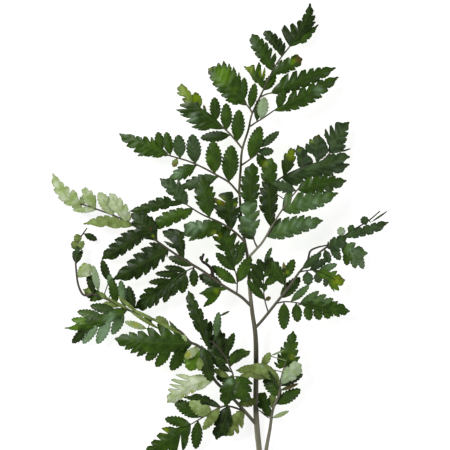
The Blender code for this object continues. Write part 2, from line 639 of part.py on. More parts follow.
def sheet_solid(name, outline, inner, height_at):
    """A closed blade over an outline, with the same triangles on its upper and its lower face."""
    rim = [(i, (i + 1) % len(outline)) for i in range(len(outline))]
    flat, _, triangles = delaunay_2d_cdt(outline + inner, rim, [], 1, WELD)[:3]
    heights = [max(height_at(p), BLADE_THICKNESS / 2) for p in flat]
    top = [spot(p.x, p.y, h + BLADE_THICKNESS / 2) for p, h in zip(flat, heights)]
    under = [spot(p.x, p.y, h - BLADE_THICKNESS / 2) for p, h in zip(flat, heights)]
    count = len(flat)
    faces = []
    edges = set()
    for tri in triangles:
        a, b, c = (flat[i] for i in tri)
        # The layout's y runs down, so a turn that is positive there faces the surface
        if (b - a).cross(c - a) > 0:
            tri = tuple(reversed(tri))
        faces.append(tuple(tri))
        faces.append(tuple(i + count for i in reversed(tri)))
        edges.update(zip(tri, tri[1:] + tri[:1]))
    for start, end in sorted(edges):
        if (end, start) not in edges:
            faces.append((end, start, start + count))
            faces.append((end, start + count, end + count))
    return closed_mesh(name, top + under, faces)


def leaf_solid(name, entry, stalk):
    """A leaf as a closed blade, tied to the nearest place on its stalk."""
    axis = [Vector(p) for p in entry["axis"]]
    gap, foot, foot_height = stalk_spot(stalk, axis[0])
    outline = leaf_outline(entry, axis)
    if gap > NECK_MIN:
        run = (axis[0] - foot).normalized()
        across = Vector((run.y, -run.x)) * NECK_WIDTH / 2
        if across.dot(outline[0] - axis[0]) < 0:
            across = -across
        back = foot - run * NECK_WIDTH / 2
        outline = [back + across, axis[0] + across] + outline + [axis[0] - across, back - across]
    else:
        outline = [foot] + outline
        axis[0] = foot
    inner = axis[1:-1]
    if not inner and entry["width"] >= MIN_ARCHED:
        inner = [axis[0].lerp(axis[1], 0.5)]
    length = sum((b - a).length for a, b in zip(axis, axis[1:]))
    lift = entry["lift"]
    if lift is None:
        lift = -LEAF_DROOP * length

    def height_at(point):
        off, _, along = nearest_on_path(axis, point)
        arch = LEAF_ARCH * length * 4 * along * (1 - along)
        return foot_height + lift * along + arch - LEAF_FOLD * off

    return sheet_solid(name, outline, inner, height_at)


def sprig_side(leaflets, rib, side):
    """One side of a sprig's outline: its leaflets, in order along the rib and cut to it."""
    found = []
    for entry in leaflets:
        base, tip = (Vector(p) for p in entry["axis"])
        _, foot, along = nearest_on_path(rib, base)
        _, ahead, _ = nearest_on_path(rib, foot.lerp(rib[-1], LOOK_AHEAD))
        if (ahead - foot).cross(tip - foot) * side > 0:
            found.append((along, foot, ahead - foot, tip, entry["width"]))
    out = []
    for _, foot, ahead, tip, width in sorted(found, key=lambda item: item[0]):
        run = tip - foot
        back = Vector((run.y, -run.x)).normalized()
        if back.dot(ahead) > 0:
            back = -back
        step = ahead.normalized() * RIB_WIDTH / 2
        edge = foot + Vector((-step.y, step.x)) * side
        shoulder = foot + run * BELLY_PLACE
        reach = back * width * half_width(BELLY_PLACE)
        out.append(edge - step)
        out.append(shoulder + reach)
        out.append(tip)
        out.append(shoulder - reach)
        out.append(edge + step)
    return out


def sprig_solid(name, pinna, parent):
    """A small side axis as one thin blade, with its leaflets cut to the rib."""
    rib = [Vector(p[:2]) for p in pinna["rib"]]
    rib[0] = stalk_spot(parent, rib[0])[1]
    leaflets = pinna["leaves"][:-1]
    last = pinna["leaves"][-1]
    axis = [Vector(p) for p in last["axis"]]
    start = (rib[1] - rib[0]).normalized() * NECK_WIDTH / 2
    side_a = sprig_side(leaflets, rib, 1)
    side_b = sprig_side(leaflets, rib, -1)
    end = leaf_outline(last, axis)
    tip = end.index(axis[-1])
    end_sides = [end[:tip], list(reversed(end[tip + 1:]))]
    if (axis[1] - axis[0]).cross(end_sides[0][0] - axis[0]) < 0:
        end_sides.reverse()
    across = Vector((-start.y, start.x))
    outline = [rib[0] + across] + side_a + end_sides[0] + [axis[-1]]
    outline += list(reversed(side_b + end_sides[1])) + [rib[0] - across]

    def height_at(point):
        off, _, height = stalk_spot(pinna["rib"], point)
        return height + SPRIG_RISE * off - SPRIG_DROOP * off * off

    return sheet_solid(name, outline, rib[1:] + axis[1:-1], height_at)


def leaf_material():
    """Glossy dark green."""
    material = bpy.data.materials.new("fern_green")
    material.use_nodes = True
    shader = material.node_tree.nodes["Principled BSDF"]
    shader.inputs["Base Color"].default_value = LEAF_COLOUR
    shader.inputs["Roughness"].default_value = LEAF_ROUGHNESS
    shader.inputs["Metallic"].default_value = 0.0
    return material


def build_frond():
    """Fuses the rachis, the stalks and the leaves into one body."""
    scene = bpy.context.scene
    frond = tube("frond", RACHIS["points"], RACHIS["sizes"], RACHIS_SIDES)
    scene.collection.objects.link(frond)
    repeats = bpy.data.collections.new("repeats")
    scene.collection.children.link(repeats)
    for name, pinna in PINNAE.items():
        if "rib" in pinna:
            repeats.objects.link(sprig_solid(name, pinna, PINNAE[pinna["parent"]]["stalk"]))
            continue
        stalk = pinna.get("stalk", RACHIS["points"])
        if "stalk" in pinna:
            repeats.objects.link(tube(name, stalk, pinna["sizes"], STALK_SIDES))
        for number, entry in enumerate(pinna["leaves"]):
            repeats.objects.link(leaf_solid(f"{name}_{number}", entry, stalk))

    union = frond.modifiers.new("fuse", "BOOLEAN")
    union.operation = "UNION"
    union.solver = "MANIFOLD"
    union.operand_type = "COLLECTION"
    union.collection = repeats
    depsgraph = bpy.context.evaluated_depsgraph_get()
    fused = bpy.data.meshes.new_from_object(frond.evaluated_get(depsgraph))
    frond.modifiers.clear()
    frond.data = fused
    for piece in list(repeats.objects):
        bpy.data.objects.remove(piece)
    bpy.data.collections.remove(repeats)

    fused.name = "frond"
    fused.materials.clear()
    fused.materials.append(leaf_material())
    fused.shade_smooth()
    fused.set_sharp_from_angle(angle=math.radians(SHARP_ANGLE))
    return frond


for old in list(bpy.data.objects):
    bpy.data.objects.remove(old)
build_frond()
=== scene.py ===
"""Looks of a cut leatherleaf fern frond that lies face up on a pale floor.

The layout is in millimetres on a sheet seen from above, x to the right and y down, with heights above
the floor. It refines the solid's layout. Each blade has its curved lobes and small teeth, a grooved
midrib with side veins, an upper face and a paler underside, and the stalks are ribbed and as thin as
real ones.
"""

import math
import random

import bpy
import numpy as np
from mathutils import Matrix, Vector
from mathutils.geometry import delaunay_2d_cdt


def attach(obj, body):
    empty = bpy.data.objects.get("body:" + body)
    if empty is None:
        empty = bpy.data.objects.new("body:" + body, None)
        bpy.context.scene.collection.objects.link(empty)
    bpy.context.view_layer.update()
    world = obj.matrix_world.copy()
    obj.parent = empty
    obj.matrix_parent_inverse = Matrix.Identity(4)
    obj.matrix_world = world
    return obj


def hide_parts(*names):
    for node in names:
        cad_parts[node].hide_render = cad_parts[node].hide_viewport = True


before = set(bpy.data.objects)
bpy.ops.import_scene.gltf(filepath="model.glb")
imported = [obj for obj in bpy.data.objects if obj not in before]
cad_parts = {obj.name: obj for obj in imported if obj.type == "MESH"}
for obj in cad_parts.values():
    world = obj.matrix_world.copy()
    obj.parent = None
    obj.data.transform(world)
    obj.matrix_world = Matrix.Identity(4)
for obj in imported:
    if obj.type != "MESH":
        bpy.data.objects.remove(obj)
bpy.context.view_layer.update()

MM = 0.001

# The sheet and the camera, in millimetres
CENTRE_X = 220.25           # middle of the frond on the layout sheet
CENTRE_Y = 253.575
VIEW_SIDE = 450.0           # the square of the sheet that the camera sees
CAMERA_HEIGHT = 3000.0
SENSOR = 36.0
LEAF_LEVEL = 14.0           # the height above the floor at which the view's square is measured

# Blades, in millimetres
BLADE_THICKNESS = 0.4
NECK_WIDTH = 1.0            # a leaflet's own short stalk
NECK_MIN = 2.5              # a leaf that starts nearer to its stalk than this has no neck
GRID = 1.25                 # spacing of the points inside a blade
GRID_ROWS = 0.866           # how much closer the rows of these points lie
GRID_CLEAR = 0.45 * GRID    # how far they stay from the margin
RIM_STEP = 1.0              # spacing of the points along its margin
WELD = 0.0001
FULLNESS = 1.08             # a leaflet's width over the width between its notches
WIDEST = 0.48               # where a leaflet is widest, as a share of its length
LEAF_FOLD = 0.20            # how far a leaf's edges drop for each millimetre from its midrib
LEAF_ARCH = 0.09            # rise of a leaf's middle over its chord, as a share of its length
LEAF_DROOP = 0.10           # drop of a leaf's tip below its base, as a share of its length
SPRIG_RISE = 0.22           # a sprig's leaflets rise from the rib, then droop
SPRIG_DROOP = 0.012

# Teeth and lobes
TOOTH_STEP = 3.6            # small teeth along a margin
TOOTH_HEIGHT = 0.8
TOOTH_PEAK = 0.68           # how far forward a tooth's point lies, as a share of its step
TOOTH_MEAN = 0.6            # what is taken off a tooth, so that teeth don't widen a blade
TOOTHED_MIN = 4.5           # a shorter margin has no teeth
TOOTH_FADE = 6.4            # how fast teeth grow from both ends of a margin
TOOTH_LEAN = 0.3            # how far a tooth points forward, as a share of the step between teeth
TOOTH_SHARE = 0.25          # height of a leaflet's teeth, as a share of half its width
LOBE_SHARE = 0.32           # the same of lobes
TOOTHED_FROM = 2.2          # how fast these teeth grow from nothing at the leaflet's base
NOTCH_LEAN = 0.22           # where a notch lies between two lobe tips, so that lobes point forward
SLIT_LEAN = 0.7             # how far a notch runs back towards the base, for each millimetre inwards
DEEP_NOTCH = 0.5            # a notch as deep as this is a slit between two fingers
SHOULDER_LEAN = 0.3         # where the far side of such a slit starts
SHOULDER_INSET = 0.2
END_LEAN = 0.35             # the small notch beside a blade's own tip
END_DEPTH = 0.3

# Veins, waves and marks
MIDRIB_GROOVE = 0.35
MIDRIB_HALF = 0.7
VEIN_GROOVE = 0.28
VEIN_HALF = 0.55
VEIN_LIGHT = 0.6            # how light a side vein is beside the midrib
VEIN_STEP = 5.5             # spacing of a leaflet's side veins along its midrib
VEIN_AHEAD = 0.17           # how far forward they end, as a share of the leaf's length
VEIN_REACH = 0.92           # how near they come to the margin
VEIN_BACK = 0.16            # how far behind a lobe's tip its vein leaves the midrib, as a share of that
VEIN_FIRST = 0.02           # the least share at which a lobe's vein leaves it
STRIPE_HALF = 1.5           # half the width of the painted sheen that follows a side vein
QUILT = 0.3                 # how much lower a blade lies along its side veins than between them
WAVE = 0.5                  # height of the waves along a blade's margin
WAVE_LENGTH = 11
WAVE_FROM = 7               # how far from the midrib the waves have their full height
RIM_HALF = 0.7              # width of the dark rim of a leaf
TONE_SPREAD = 0.08          # how much leaves of one look differ
MARK_EDGE = 1.35            # how soft a mark's edge is
PAINTED_SHEEN_BETWEEN = 0.35        # the share of its painted sheen that a blade has between its side veins

# Stalks, with a groove along the upper side and ribs all round, as shares of the radius
STALK_GROOVE = 0.12
STALK_GROOVE_HALF = 0.45    # in radians
STALK_RIBS = 0.03
STALK_FLARE = (1.05, 0.8)   # a stalk's diameters at both ends over those of the layout
RIB_SIZES = (1.7, 0.7)
RIB_TONES = (0.35, 0.35)
RACHIS_MESH = (20, 2.0)     # the sides of a tube, and the spacing of its rings
STALK_MESH = (10, 1.6)
RIB_MESH = (8, 1.5)
SHARP_ANGLE = 50            # a sharper edge isn't shaded smooth, in degrees

# Corners of an outline
FOOT, TIP, NOTCH, SHOULDER, END = range(5)

# How far a margin bulges between two corners, as a share of its length, and to which end the bulge leans
BULGES = {
    (FOOT, FOOT): (0.0, 1.0), (FOOT, TIP): (0.05, 1.0), (TIP, FOOT): (0.05, 1.0),
    (TIP, TIP): (0.08, 0.8), (NOTCH, TIP): (0.16, 0.8), (TIP, NOTCH): (0.03, 1.0),
    (NOTCH, SHOULDER): (0.0, 1.0), (SHOULDER, TIP): (0.14, 0.8), (NOTCH, END): (0.05, 1.0),
}
BULGE_MOST = 1.5            # in millimetres

# How a leaf looks from above: whether its underside is up, how bright it is, and how much painted sheen it
# has, a pale bluish highlight painted into its colour
LOOKS = {
    "green": (False, 0.45, 0.0),
    "deep": (False, 0.12, 0.0),
    "bright": (False, 0.85, 0.0),
    # Looks whose last number is above 0 have painted sheen: a pale bluish highlight painted into their
    # colour.
    "dark_with_painted_sheen": (False, 0.18, 0.22),
    "some_painted_sheen": (False, 0.55, 0.34),
    "painted_sheen": (False, 0.55, 0.66),
    "strong_painted_sheen": (False, 0.8, 1.3),
    "pale": (True, 0.7, 0.0),
    "pale_painted_sheen": (True, 0.6, 0.8),
    "olive": (True, 0.15, 0.0),
    "mild": (True, 0.4, 0.0),
    "white": (True, 0.85, 0.0),
}

# The materials that each piece has, in their order, and the marks that they read from its points
UPPER, UNDER, STALK, CUT = range(4)
# The fourth of these marks is painted sheen: a pale bluish highlight mixed into a leaf's colour.
MARKS = ("tone", "vein", "rim", "painted_sheen", "yellow", "brown")

# What colours a leaf's two faces beside its tone: the mark, its share or the noise that breaks it up
# (scale, gain, offset, most), and the colour as it shows on a screen
UPPER_TINTS = (
    # The first row is painted sheen: a pale bluish-green highlight mixed into the upper face in patches.
    ("painted_sheen", (75, 2.0, -0.3, 1.0), (142, 174, 136)),
    ("yellow", (240, 2.4, -0.4, 0.92), (134, 156, 2)),
    ("brown", (260, 2.4, -0.4, 0.9), (104, 66, 30)),
    ("vein", 0.16, (120, 150, 70)),
    ("rim", 0.5, (20, 34, 10)),
)
UNDER_TINTS = (
    # The first row is painted sheen on the underside: a pale bluish highlight mixed into its colour.
    ("painted_sheen", 0.8, (170, 196, 176)),
    ("yellow", 1.0, (186, 190, 60)),
    ("brown", 1.0, (120, 90, 50)),
    ("vein", 0.45, (120, 146, 70)),
    ("rim", 0.5, (92, 108, 52)),
)


# Layout

def leaf(bx, by, tx, ty, width, lift=None, look="green", lobes=None, marks=()):
    """A leaflet from its base to its tip, toothed by rule, or with lobes by rule on both sides.

    Lift is how much higher its tip lies than its base. Marks are patches of colour, and some of them are
    painted sheen, a pale bluish highlight: the kind, the place on the sheet and the radius.
    """
    return {"axis": [(bx, by), (tx, ty)], "width": width, "lobes": lobes, "lift": lift, "look": look,
            "marks": marks, "fingers": ()}


def blade(axis, side_a, side_b, lift=None, look="green", depth=0.35, marks=(), fingers=()):
    """A lobed blade: its midrib and, from base to tip, the lobe tips on each of its two sides.

    Depth is how far its notches reach towards the midrib. A third number on a lobe tip is the depth of
    the notch before it, and 0 leaves that notch out. Fingers are long lobes, made as leaflets that lie in
    the blade's own surface.
    """
    return {"axis": axis, "sides": (side_a, side_b), "lift": lift, "look": look, "depth": depth,
            "marks": marks, "fingers": fingers}


def stalk(*points, sizes=(1.8, 1.6), tones=(0.55, 0.3)):
    """A stalk through points x, y, height, with its diameters and its lightness at even steps."""
    return {"points": points, "sizes": sizes, "tones": tones}


def rib(*points, woody=0.5):
    """The small side axis of a sprig, which starts on its parent's stalk and is green past this share."""
    return {"points": points, "woody": woody}


# The rachis, from the cut end to the tip
RACHIS = stalk(
    (263.3, 505, 2.4), (262, 482, 2.4), (259.3, 450, 3.2), (257.3, 430, 4.4), (256, 405, 6), (256.2, 360, 9),
    (255.5, 335, 10.6), (252, 310, 12), (249.5, 285, 13.2), (248, 260, 14), (244.5, 240, 14.4),
    (241.5, 220, 14.6), (240, 200, 14.6), (239.3, 190, 14.6), (240.6, 170, 14.4), (242.2, 150, 14),
    (248.3, 130, 13.4), (252, 114, 12.8), (260, 97, 12), (268, 80, 11), (277, 63, 9.8), (290, 46, 8.4),
    sizes=(5.8, 5.8, 5.8, 5.3, 5.0, 4.3, 3.4, 3.0, 2.6, 2.4, 2.0, 1.7, 1.4),
    tones=(0.95, 0.95, 0.7, 0.4, 0.5, 0.75, 0.4, 0.45, 0.7, 0.6, 0.4, 0.4))

# The pinnae: first the stalk that the leaves grow on, then the leaves. A sprig's parent is the pinna
# whose name it lengthens.
PINNAE = {}
PINNAE["top"] = [
    RACHIS,
    blade([(290, 46), (297, 37), (303, 26), (307.5, 17), (310.5, 1.6)],
          [(281, 28), (285, 24.2, 0.1), (293, 22.4, 0.5), (300.4, 19.5, 0.6), (304.6, 13, 0.48),
           (307, 8, 0.48)],
          [(299, 41), (304, 33, 0), (316.4, 21, 0), (315.6, 14.5), (313.8, 9, 0.48)], -8.4, "deep"),
    blade([(292, 45.5), (305, 36.5), (319.3, 23.5)], [(300, 37), (312, 26.6, 0.1)],
          [(299, 43.5), (307.5, 41, 0.2), (312.5, 34.5, 0.3), (316, 29.5, 0.3)], -6.4),
    blade([(281.5, 55.5), (274, 43), (265, 30)],
          [(277.5, 51.6), (272.6, 46, 0.2), (268.3, 41.6, 0.25), (264.5, 37.5, 0.3), (263, 32.8, 0.3)],
          [(285.3, 50), (284.8, 41.8), (280.2, 37), (275, 32.6), (269.5, 29.8, 0.3)], -2, "deep"),
    blade([(272, 70), (263, 53), (252, 33)],
          [(265, 66), (259.4, 59.8), (254.4, 52.7), (250.3, 46), (249.5, 39, 0.3)],
          [(275, 64), (275.4, 52.4, 0.1), (271, 47, 0.6), (266.5, 41.5, 0.4), (262, 37.5), (257.3, 34.3)],
          -4),
    blade([(263.5, 88.5), (256, 78), (243.3, 65.5)], [(259, 85), (251.6, 77, 0.3)],
          [(263.8, 80), (265, 66.4, 0), (258.7, 61.5, 0.6), (250, 66, 0.6)], -5,
          marks=(("yellow", 248, 68, 6), ("yellow", 263, 73, 4))),
    blade([(271.5, 73.5), (286, 66.5), (302.8, 58.8)],
          [(276, 66), (282, 59.5, 0.2), (289, 57, 0.4), (297.5, 54)],
          [(280, 74.5), (290, 71.5, 0.25), (296, 69.5, 0.3), (301.3, 64.8, 0.4)], 3,
          marks=(("tone", 292, 62, 5), ("yellow", 295, 60, 2), ("brown", 299.5, 59, 4.5))),
    leaf(265, 92, 275.6, 74, 10.4, -5),
]
PINNAE["right_6"] = [
    stalk((260.5, 97, 12), (266, 94.3, 12.6), (272, 92.8, 13)),
    blade([(271, 92), (290, 84), (312, 75), (336.5, 67.3)],
          [(277, 84.5), (288.5, 73, 0.1), (297, 70.4, 0.68), (306, 69.6, 0.65), (313.5, 68, 0.6),
           (320.5, 67.3, 0.5), (328, 66.6, 0.4)],
          [(280, 94), (290, 92.4), (300, 89.2), (310.5, 84.8), (319.8, 80.4), (329, 75)], -5, depth=0.25),
]
PINNAE["right_5"] = [
    stalk((250, 126.5, 13.2), (256, 122.4, 14), (264, 117.5, 15), (274, 110.5, 15.5)),
    leaf(277.5, 108, 284.4, 89.8, 10, 2),
    blade([(274, 110), (295, 100), (317, 88), (339, 76.5)],
          [(285, 104), (296, 88.5, 0.1), (305, 87, 0.75), (314, 82.5, 0.6), (322.5, 79.5, 0.5),
           (331, 77, 0.4)],
          [(285, 111.4), (291.5, 111, 0.3), (300, 108.8), (309, 105), (316.2, 101.4), (322.5, 97),
           (328.5, 90.5), (334.3, 84.5)], -7, marks=(("painted_sheen", 318, 90, 5),)),
    leaf(260.5, 119, 264.5, 97.5, 11.5, 5, "pale_painted_sheen"),
    leaf(256.5, 121.5, 259, 99, 8, -3, "deep"),
]
PINNAE["left_5"] = [
    stalk((252.3, 113, 12.8), (250, 109, 13.2), (246, 104, 13.4), (239, 97, 13)),
    leaf(250.3, 109, 255, 83.5, 9.2, 3),
    leaf(244, 101, 244.3, 77.5, 8, 0),
    blade([(247, 105), (235, 93), (222, 81), (208, 68)],
          [(243, 96), (242, 82, 0), (239, 71.5, 0.45), (233.5, 66, 0.4), (229, 62.5, 0.4),
           (223.5, 60, 0.35), (218, 62, 0.35), (212.5, 66)],
          [(239, 104), (231.5, 104, 0.2), (225, 100), (220.5, 95), (216, 89.5), (212, 83.5), (209.2, 77),
           (207.8, 71.5)], -6, depth=0.3, marks=(("tone", 222, 76, 14), ("yellow", 210, 68, 2))),
]
PINNAE["right_4"] = [
    stalk((240.5, 166, 14.3), (250.8, 158.8, 16), (256.6, 154, 17), (259.8, 147, 17.4)),
    leaf(249.3, 158.5, 260.4, 126.5, 14.4, 4),
    leaf(259.5, 148, 279, 131.6, 8.2, -2, "dark_with_painted_sheen"),
    leaf(257.4, 152.4, 273.6, 151, 9, -3, "dark_with_painted_sheen"),
    leaf(256.5, 153, 266.5, 169, 10, -5, marks=(("yellow", 265, 164, 4),)),
]
PINNAE["left_4"] = [
    stalk((242.6, 149, 14), (237, 142, 15.5), (228, 132, 16.6), (216, 121.5, 16.4), (206, 115, 15.4),
          (196, 105, 13.5), sizes=(2, 1.6)),
    leaf(237.3, 142, 239, 110, 13.6, 4),
    leaf(226.3, 131, 226.2, 103.5, 12, 2),
    leaf(216.4, 121, 214.5, 97.5, 11, 3),
    leaf(206.5, 115, 203.6, 105, 3, 2, "dark_with_painted_sheen", marks=(("brown", 204, 106, 3),)),
    leaf(198.4, 110.5, 195, 92.5, 9.5, 4, "bright",
         marks=(("tone", 197, 102, 9), ("yellow", 197, 101, 9), ("brown", 196, 93, 2.2))),
    blade([(224, 129), (206, 115.6), (194, 104), (181.5, 83)],
          [(212, 129), (197, 130, 0.15), (191, 127, 0.3), (185.5, 121, 0.4), (179.5, 114.5, 0.4),
           (175.8, 109.5, 0.4), (180, 104, 0.5), (182, 98.5, 0.4), (176.5, 92.5, 0.5), (177, 87.5, 0.3)],
          [(201, 108), (192.5, 94.5), (188.5, 90), (186, 86.5)], -7,
          marks=(("tone", 184, 93, 13), ("yellow", 183, 91, 12), ("brown", 184, 98, 2.6),
                 ("painted_sheen", 192, 120, 6))),
    leaf(231, 135, 200.5, 137.8, 11, -6, "deep"),
]
PINNAE["left_3"] = [
    stalk((239, 193.5, 14.6), (229.4, 182.7, 17), (219, 176.4, 18.4), (204.5, 168.4, 19),
          (189.5, 161.6, 18.2), (176.5, 157.6, 16.4), (166, 154.4, 14.2), (156, 149, 12), sizes=(2.2, 1.6)),
    leaf(229.2, 182, 231.5, 145.5, 17, 4),
    leaf(215, 173.5, 213, 141.5, 16.6, 3),
    leaf(196, 163, 192.3, 134.5, 15, 1, "dark_with_painted_sheen"),
    leaf(180.6, 157.5, 178.5, 135, 13, 3, "dark_with_painted_sheen"),
    leaf(170.6, 155, 166.3, 132, 10, -1),
    leaf(161, 152.5, 158, 132, 10, 2),
    blade([(169, 154), (150, 147), (135, 140), (118.6, 133.3)],
          [(158, 145), (151, 136.6, 0.5), (143.7, 136.3, 0.5), (136.6, 135.8, 0.45), (129.5, 134)],
          [(165, 156.5), (152, 157, 0.25), (144, 156, 0.3), (137, 156, 0.35), (133, 151.5), (126, 146),
           (121.6, 140.4)], -7, depth=0.4),
    leaf(177, 159, 173.4, 167, 6.5, -1, "olive", marks=(("brown", 175, 165, 3),)),
    leaf(197.5, 164, 171, 178.7, 14, -5, lobes=4, marks=(("painted_sheen", 177, 174, 6),)),
    leaf(218.5, 177.5, 182, 187, 14.4, -7, "dark_with_painted_sheen", lobes=5),
]
PINNAE["left_2"] = [
    stalk((245, 242, 14.4), (236, 233, 18), (222, 223.5, 21), (202.3, 214.5, 22), (191, 207.5, 21),
          (183, 202, 19), sizes=(2.4, 1.6)),
    blade([(187, 205), (175, 191), (159.6, 178.4)],
          [(181, 203), (172.5, 197.5, 0.3), (165.5, 191), (161, 184)],
          [(188.5, 199), (186, 191), (183, 184.5), (178.5, 180), (170, 177.8)], -3, "dark_with_painted_sheen", depth=0.4),
    blade([(232, 229), (229, 212), (227, 192)],
          [(224.5, 221), (215, 211.5, 0.2), (213, 204, 0.3), (213.5, 197.5, 0.4), (221.5, 193, 0.85)],
          [(238, 216), (241.3, 206), (237.6, 196.8, 0.45), (232, 191.6, 0.45)], 5, "deep",
          marks=(("brown", 215.5, 197.5, 4), ("yellow", 221, 201, 4.5), ("brown", 223, 203, 2.4),
                 ("yellow", 236, 205, 2.5))),
    leaf(210, 217, 201.4, 177.5, 20.6, -3, lobes=6),
    blade([(223, 223.5), (204, 228), (184, 224)], [(212, 219), (203, 220.5, 0.3), (196, 220), (189, 222)],
          [(218, 234.5), (207, 237.6), (197, 239.4, 0.3), (188.4, 241, 0.25), (184, 235.4, 0.3)], -5,
          marks=(("painted_sheen", 190, 227, 9), ("painted_sheen", 201, 226, 5), ("yellow", 214, 233, 3))),
    blade([(193, 208.5), (173, 217), (152, 227)],
          [(185, 208.4), (176, 208.6, 0.3), (168.6, 210.6), (161.5, 213), (155.5, 218.5)],
          [(190, 216), (183, 220, 0.3), (175, 223.5, 0.3), (166.5, 227.3, 0.3), (158.5, 229.3, 0.3)], -8),
    blade([(184, 203), (158, 205), (129.5, 211)],
          [(173, 200.5), (163.5, 196, 0.2), (155.5, 198), (148.3, 201.6), (140.6, 205.2), (133.6, 208.6)],
          [(172, 206.5), (161, 209.4, 0.25), (152, 212, 0.3), (144, 214.4, 0.3), (136, 214.6, 0.3)],
          -7, "deep"),
]
PINNAE["left_1"] = [
    stalk((251, 306, 12.2), (241, 296.7, 15), (223.5, 285.7, 17.6), (203, 271, 18.6), (186.2, 260.8, 18.4),
          (169.4, 249.9, 17.6), (148.6, 235.2, 16), (130, 223, 13.8), (110, 214, 11.4), (90, 207, 9),
          (70, 200, 6.4), (58, 189, 5), sizes=(3, 1.6)),
    blade([(184, 258), (180, 243), (178, 229.5)],
          [(176, 250), (163.5, 240.8, 0.2), (162.3, 230.8, 0.6), (170, 228.4, 0.6)],
          [(184.6, 250), (184.5, 240, 0), (184, 232)], -4, "deep"),
    leaf(158, 241, 134, 212.5, 22, -2, "deep", lobes=4,
         marks=(("brown", 151, 229, 1.5), ("yellow", 153, 236, 1.6))),
    leaf(156, 240, 147, 217, 12, -4, "deep", lobes=3),
    blade([(128.3, 222), (119, 208), (109.5, 193)], [(118, 215), (108, 205, 0.2)],
          [(131, 219), (129.4, 211, 0), (126, 203.5), (120, 197, 0.45), (114.5, 193.5, 0.4)], 2, "pale"),
    leaf(114.5, 215.5, 98.5, 192.5, 13, 1, "pale"),
    leaf(95.6, 209.5, 83.6, 188.6, 12.6, 2, "pale", lobes=3),
    blade([(82, 205), (67, 197), (52, 172.6)],
          [(87, 204), (80, 196.5, 0.65), (72.4, 189.4, 0.65), (66, 186, 0.6), (60.4, 181.5, 0.5),
           (56, 176.4, 0.4)],
          [(80, 209), (71.5, 207.5), (63, 203), (57.5, 197), (53, 189), (50.8, 181)],
          -6.5, "pale", depth=0.3),
    leaf(97, 211, 72.5, 210, 6, -3, "pale"),
    blade([(133, 226), (108, 220), (82.5, 224)],
          [(121, 219.5), (112, 216.5, 0.15), (104, 215.4), (96.5, 217), (89, 220.5)],
          [(124, 228), (108, 226.6, 0.1), (95, 226, 0.15)], -7, "olive", depth=0.25),
    blade([(144.2, 232), (124, 245), (101, 259.5)],
          [(134, 229.5), (126.5, 231, 0.3), (120, 234, 0.4), (114, 239.8, 0.4), (108, 245.8, 0.4),
           (103, 252)],
          [(143, 241), (136.2, 246, 0.3), (129, 251.2), (121.5, 256), (111.5, 260, 0.3)], -10, "deep"),
    blade([(169, 248.5), (142, 264), (112, 280)],
          [(158, 242.5), (148.5, 242.8, 0.35), (140.4, 249), (132.5, 255), (126.3, 262), (118.5, 270.5)],
          [(167, 258), (162.4, 262.8, 0.5), (153, 270.4, 0.5), (144.8, 275.8), (136, 280, 0.35),
           (124.5, 281, 0.3)], -12, "deep", depth=0.4),
    leaf(194, 266, 168.5, 257, 9, -3, "deep"),
    leaf(223, 287, 199, 275.5, 12, -6, "deep"),
    blade([(228, 288), (214, 289.5), (199, 293.8)], [(216, 286.5), (206, 288.4)],
          [(221, 291), (216, 300), (203.3, 307.5), (208, 299), (205, 296.5)], -5, depth=0,
          marks=(("yellow", 216, 291, 2.6), ("brown", 221, 292, 2.4))),
]
PINNAE["left_1_top"] = [
    rib((237.5, 293, 15.6), (237, 280, 17.5), (233, 263, 17), (228, 247, 15.5)),
    leaf(237, 284, 211.8, 266, 10.8),
    leaf(235, 271, 216, 253, 9.6),
    leaf(237.2, 283, 250.6, 256.5, 12.4),
    leaf(234, 267, 244, 241.5, 11),
    blade([(235, 268), (231.5, 255), (226, 242), (221, 226.5)],
          [(231.5, 262), (224, 252.5, 0), (214.5, 244.5, 0.4), (212.5, 236), (215.5, 229)],
          [(236, 258), (236.5, 250, 0), (239.5, 240), (235.5, 231.5), (228, 225.5)], depth=0.5,
          marks=(("yellow", 218, 235, 4),)),
]
PINNAE["left_1_twig"] = [
    stalk((213, 276.5, 18), (211.5, 269, 20), (206.7, 264, 21), (202, 260.4, 21.6), (203.8, 253.5, 22),
          sizes=(3.4, 3), tones=(0, 0)),
    leaf(203, 261, 200.3, 256, 4, 1, "deep"),
    leaf(206, 264, 207.5, 258, 3.4, 1, "deep"),
]
PINNAE["left_1_low"] = [
    rib((196, 265.8, 18.5), (183, 273, 16.5), (170, 284, 13), (156, 294.5, 9), woody=0.12),
    leaf(187, 270.5, 164.5, 266.8, 6.8, look="deep"),
    leaf(181, 274.5, 155.3, 273.6, 7.6, look="deep"),
    leaf(174, 281, 148.8, 282.4, 7.6, look="deep"),
    leaf(193.4, 267, 194, 286.5, 9.4, look="deep"),
    leaf(185, 272, 182, 293.2, 10.5, look="deep"),
    leaf(178, 277, 172, 296, 9.6, look="deep"),
    leaf(171, 283, 164, 302.6, 8.6, look="deep"),
    blade([(187, 271), (170, 284), (156, 294.5), (134, 308)],
          [(178.5, 272.8), (168, 280.2, 0), (156, 287, 0), (143, 290, 0.15), (139, 297),
           (136.4, 303.4, 0.3)],
          [(184.5, 279), (175.3, 284, 0), (167.5, 291, 0), (160, 299, 0), (155.5, 306.4, 0.1),
           (148.9, 308.8), (142, 311.2, 0.3)], look="deep"),
]
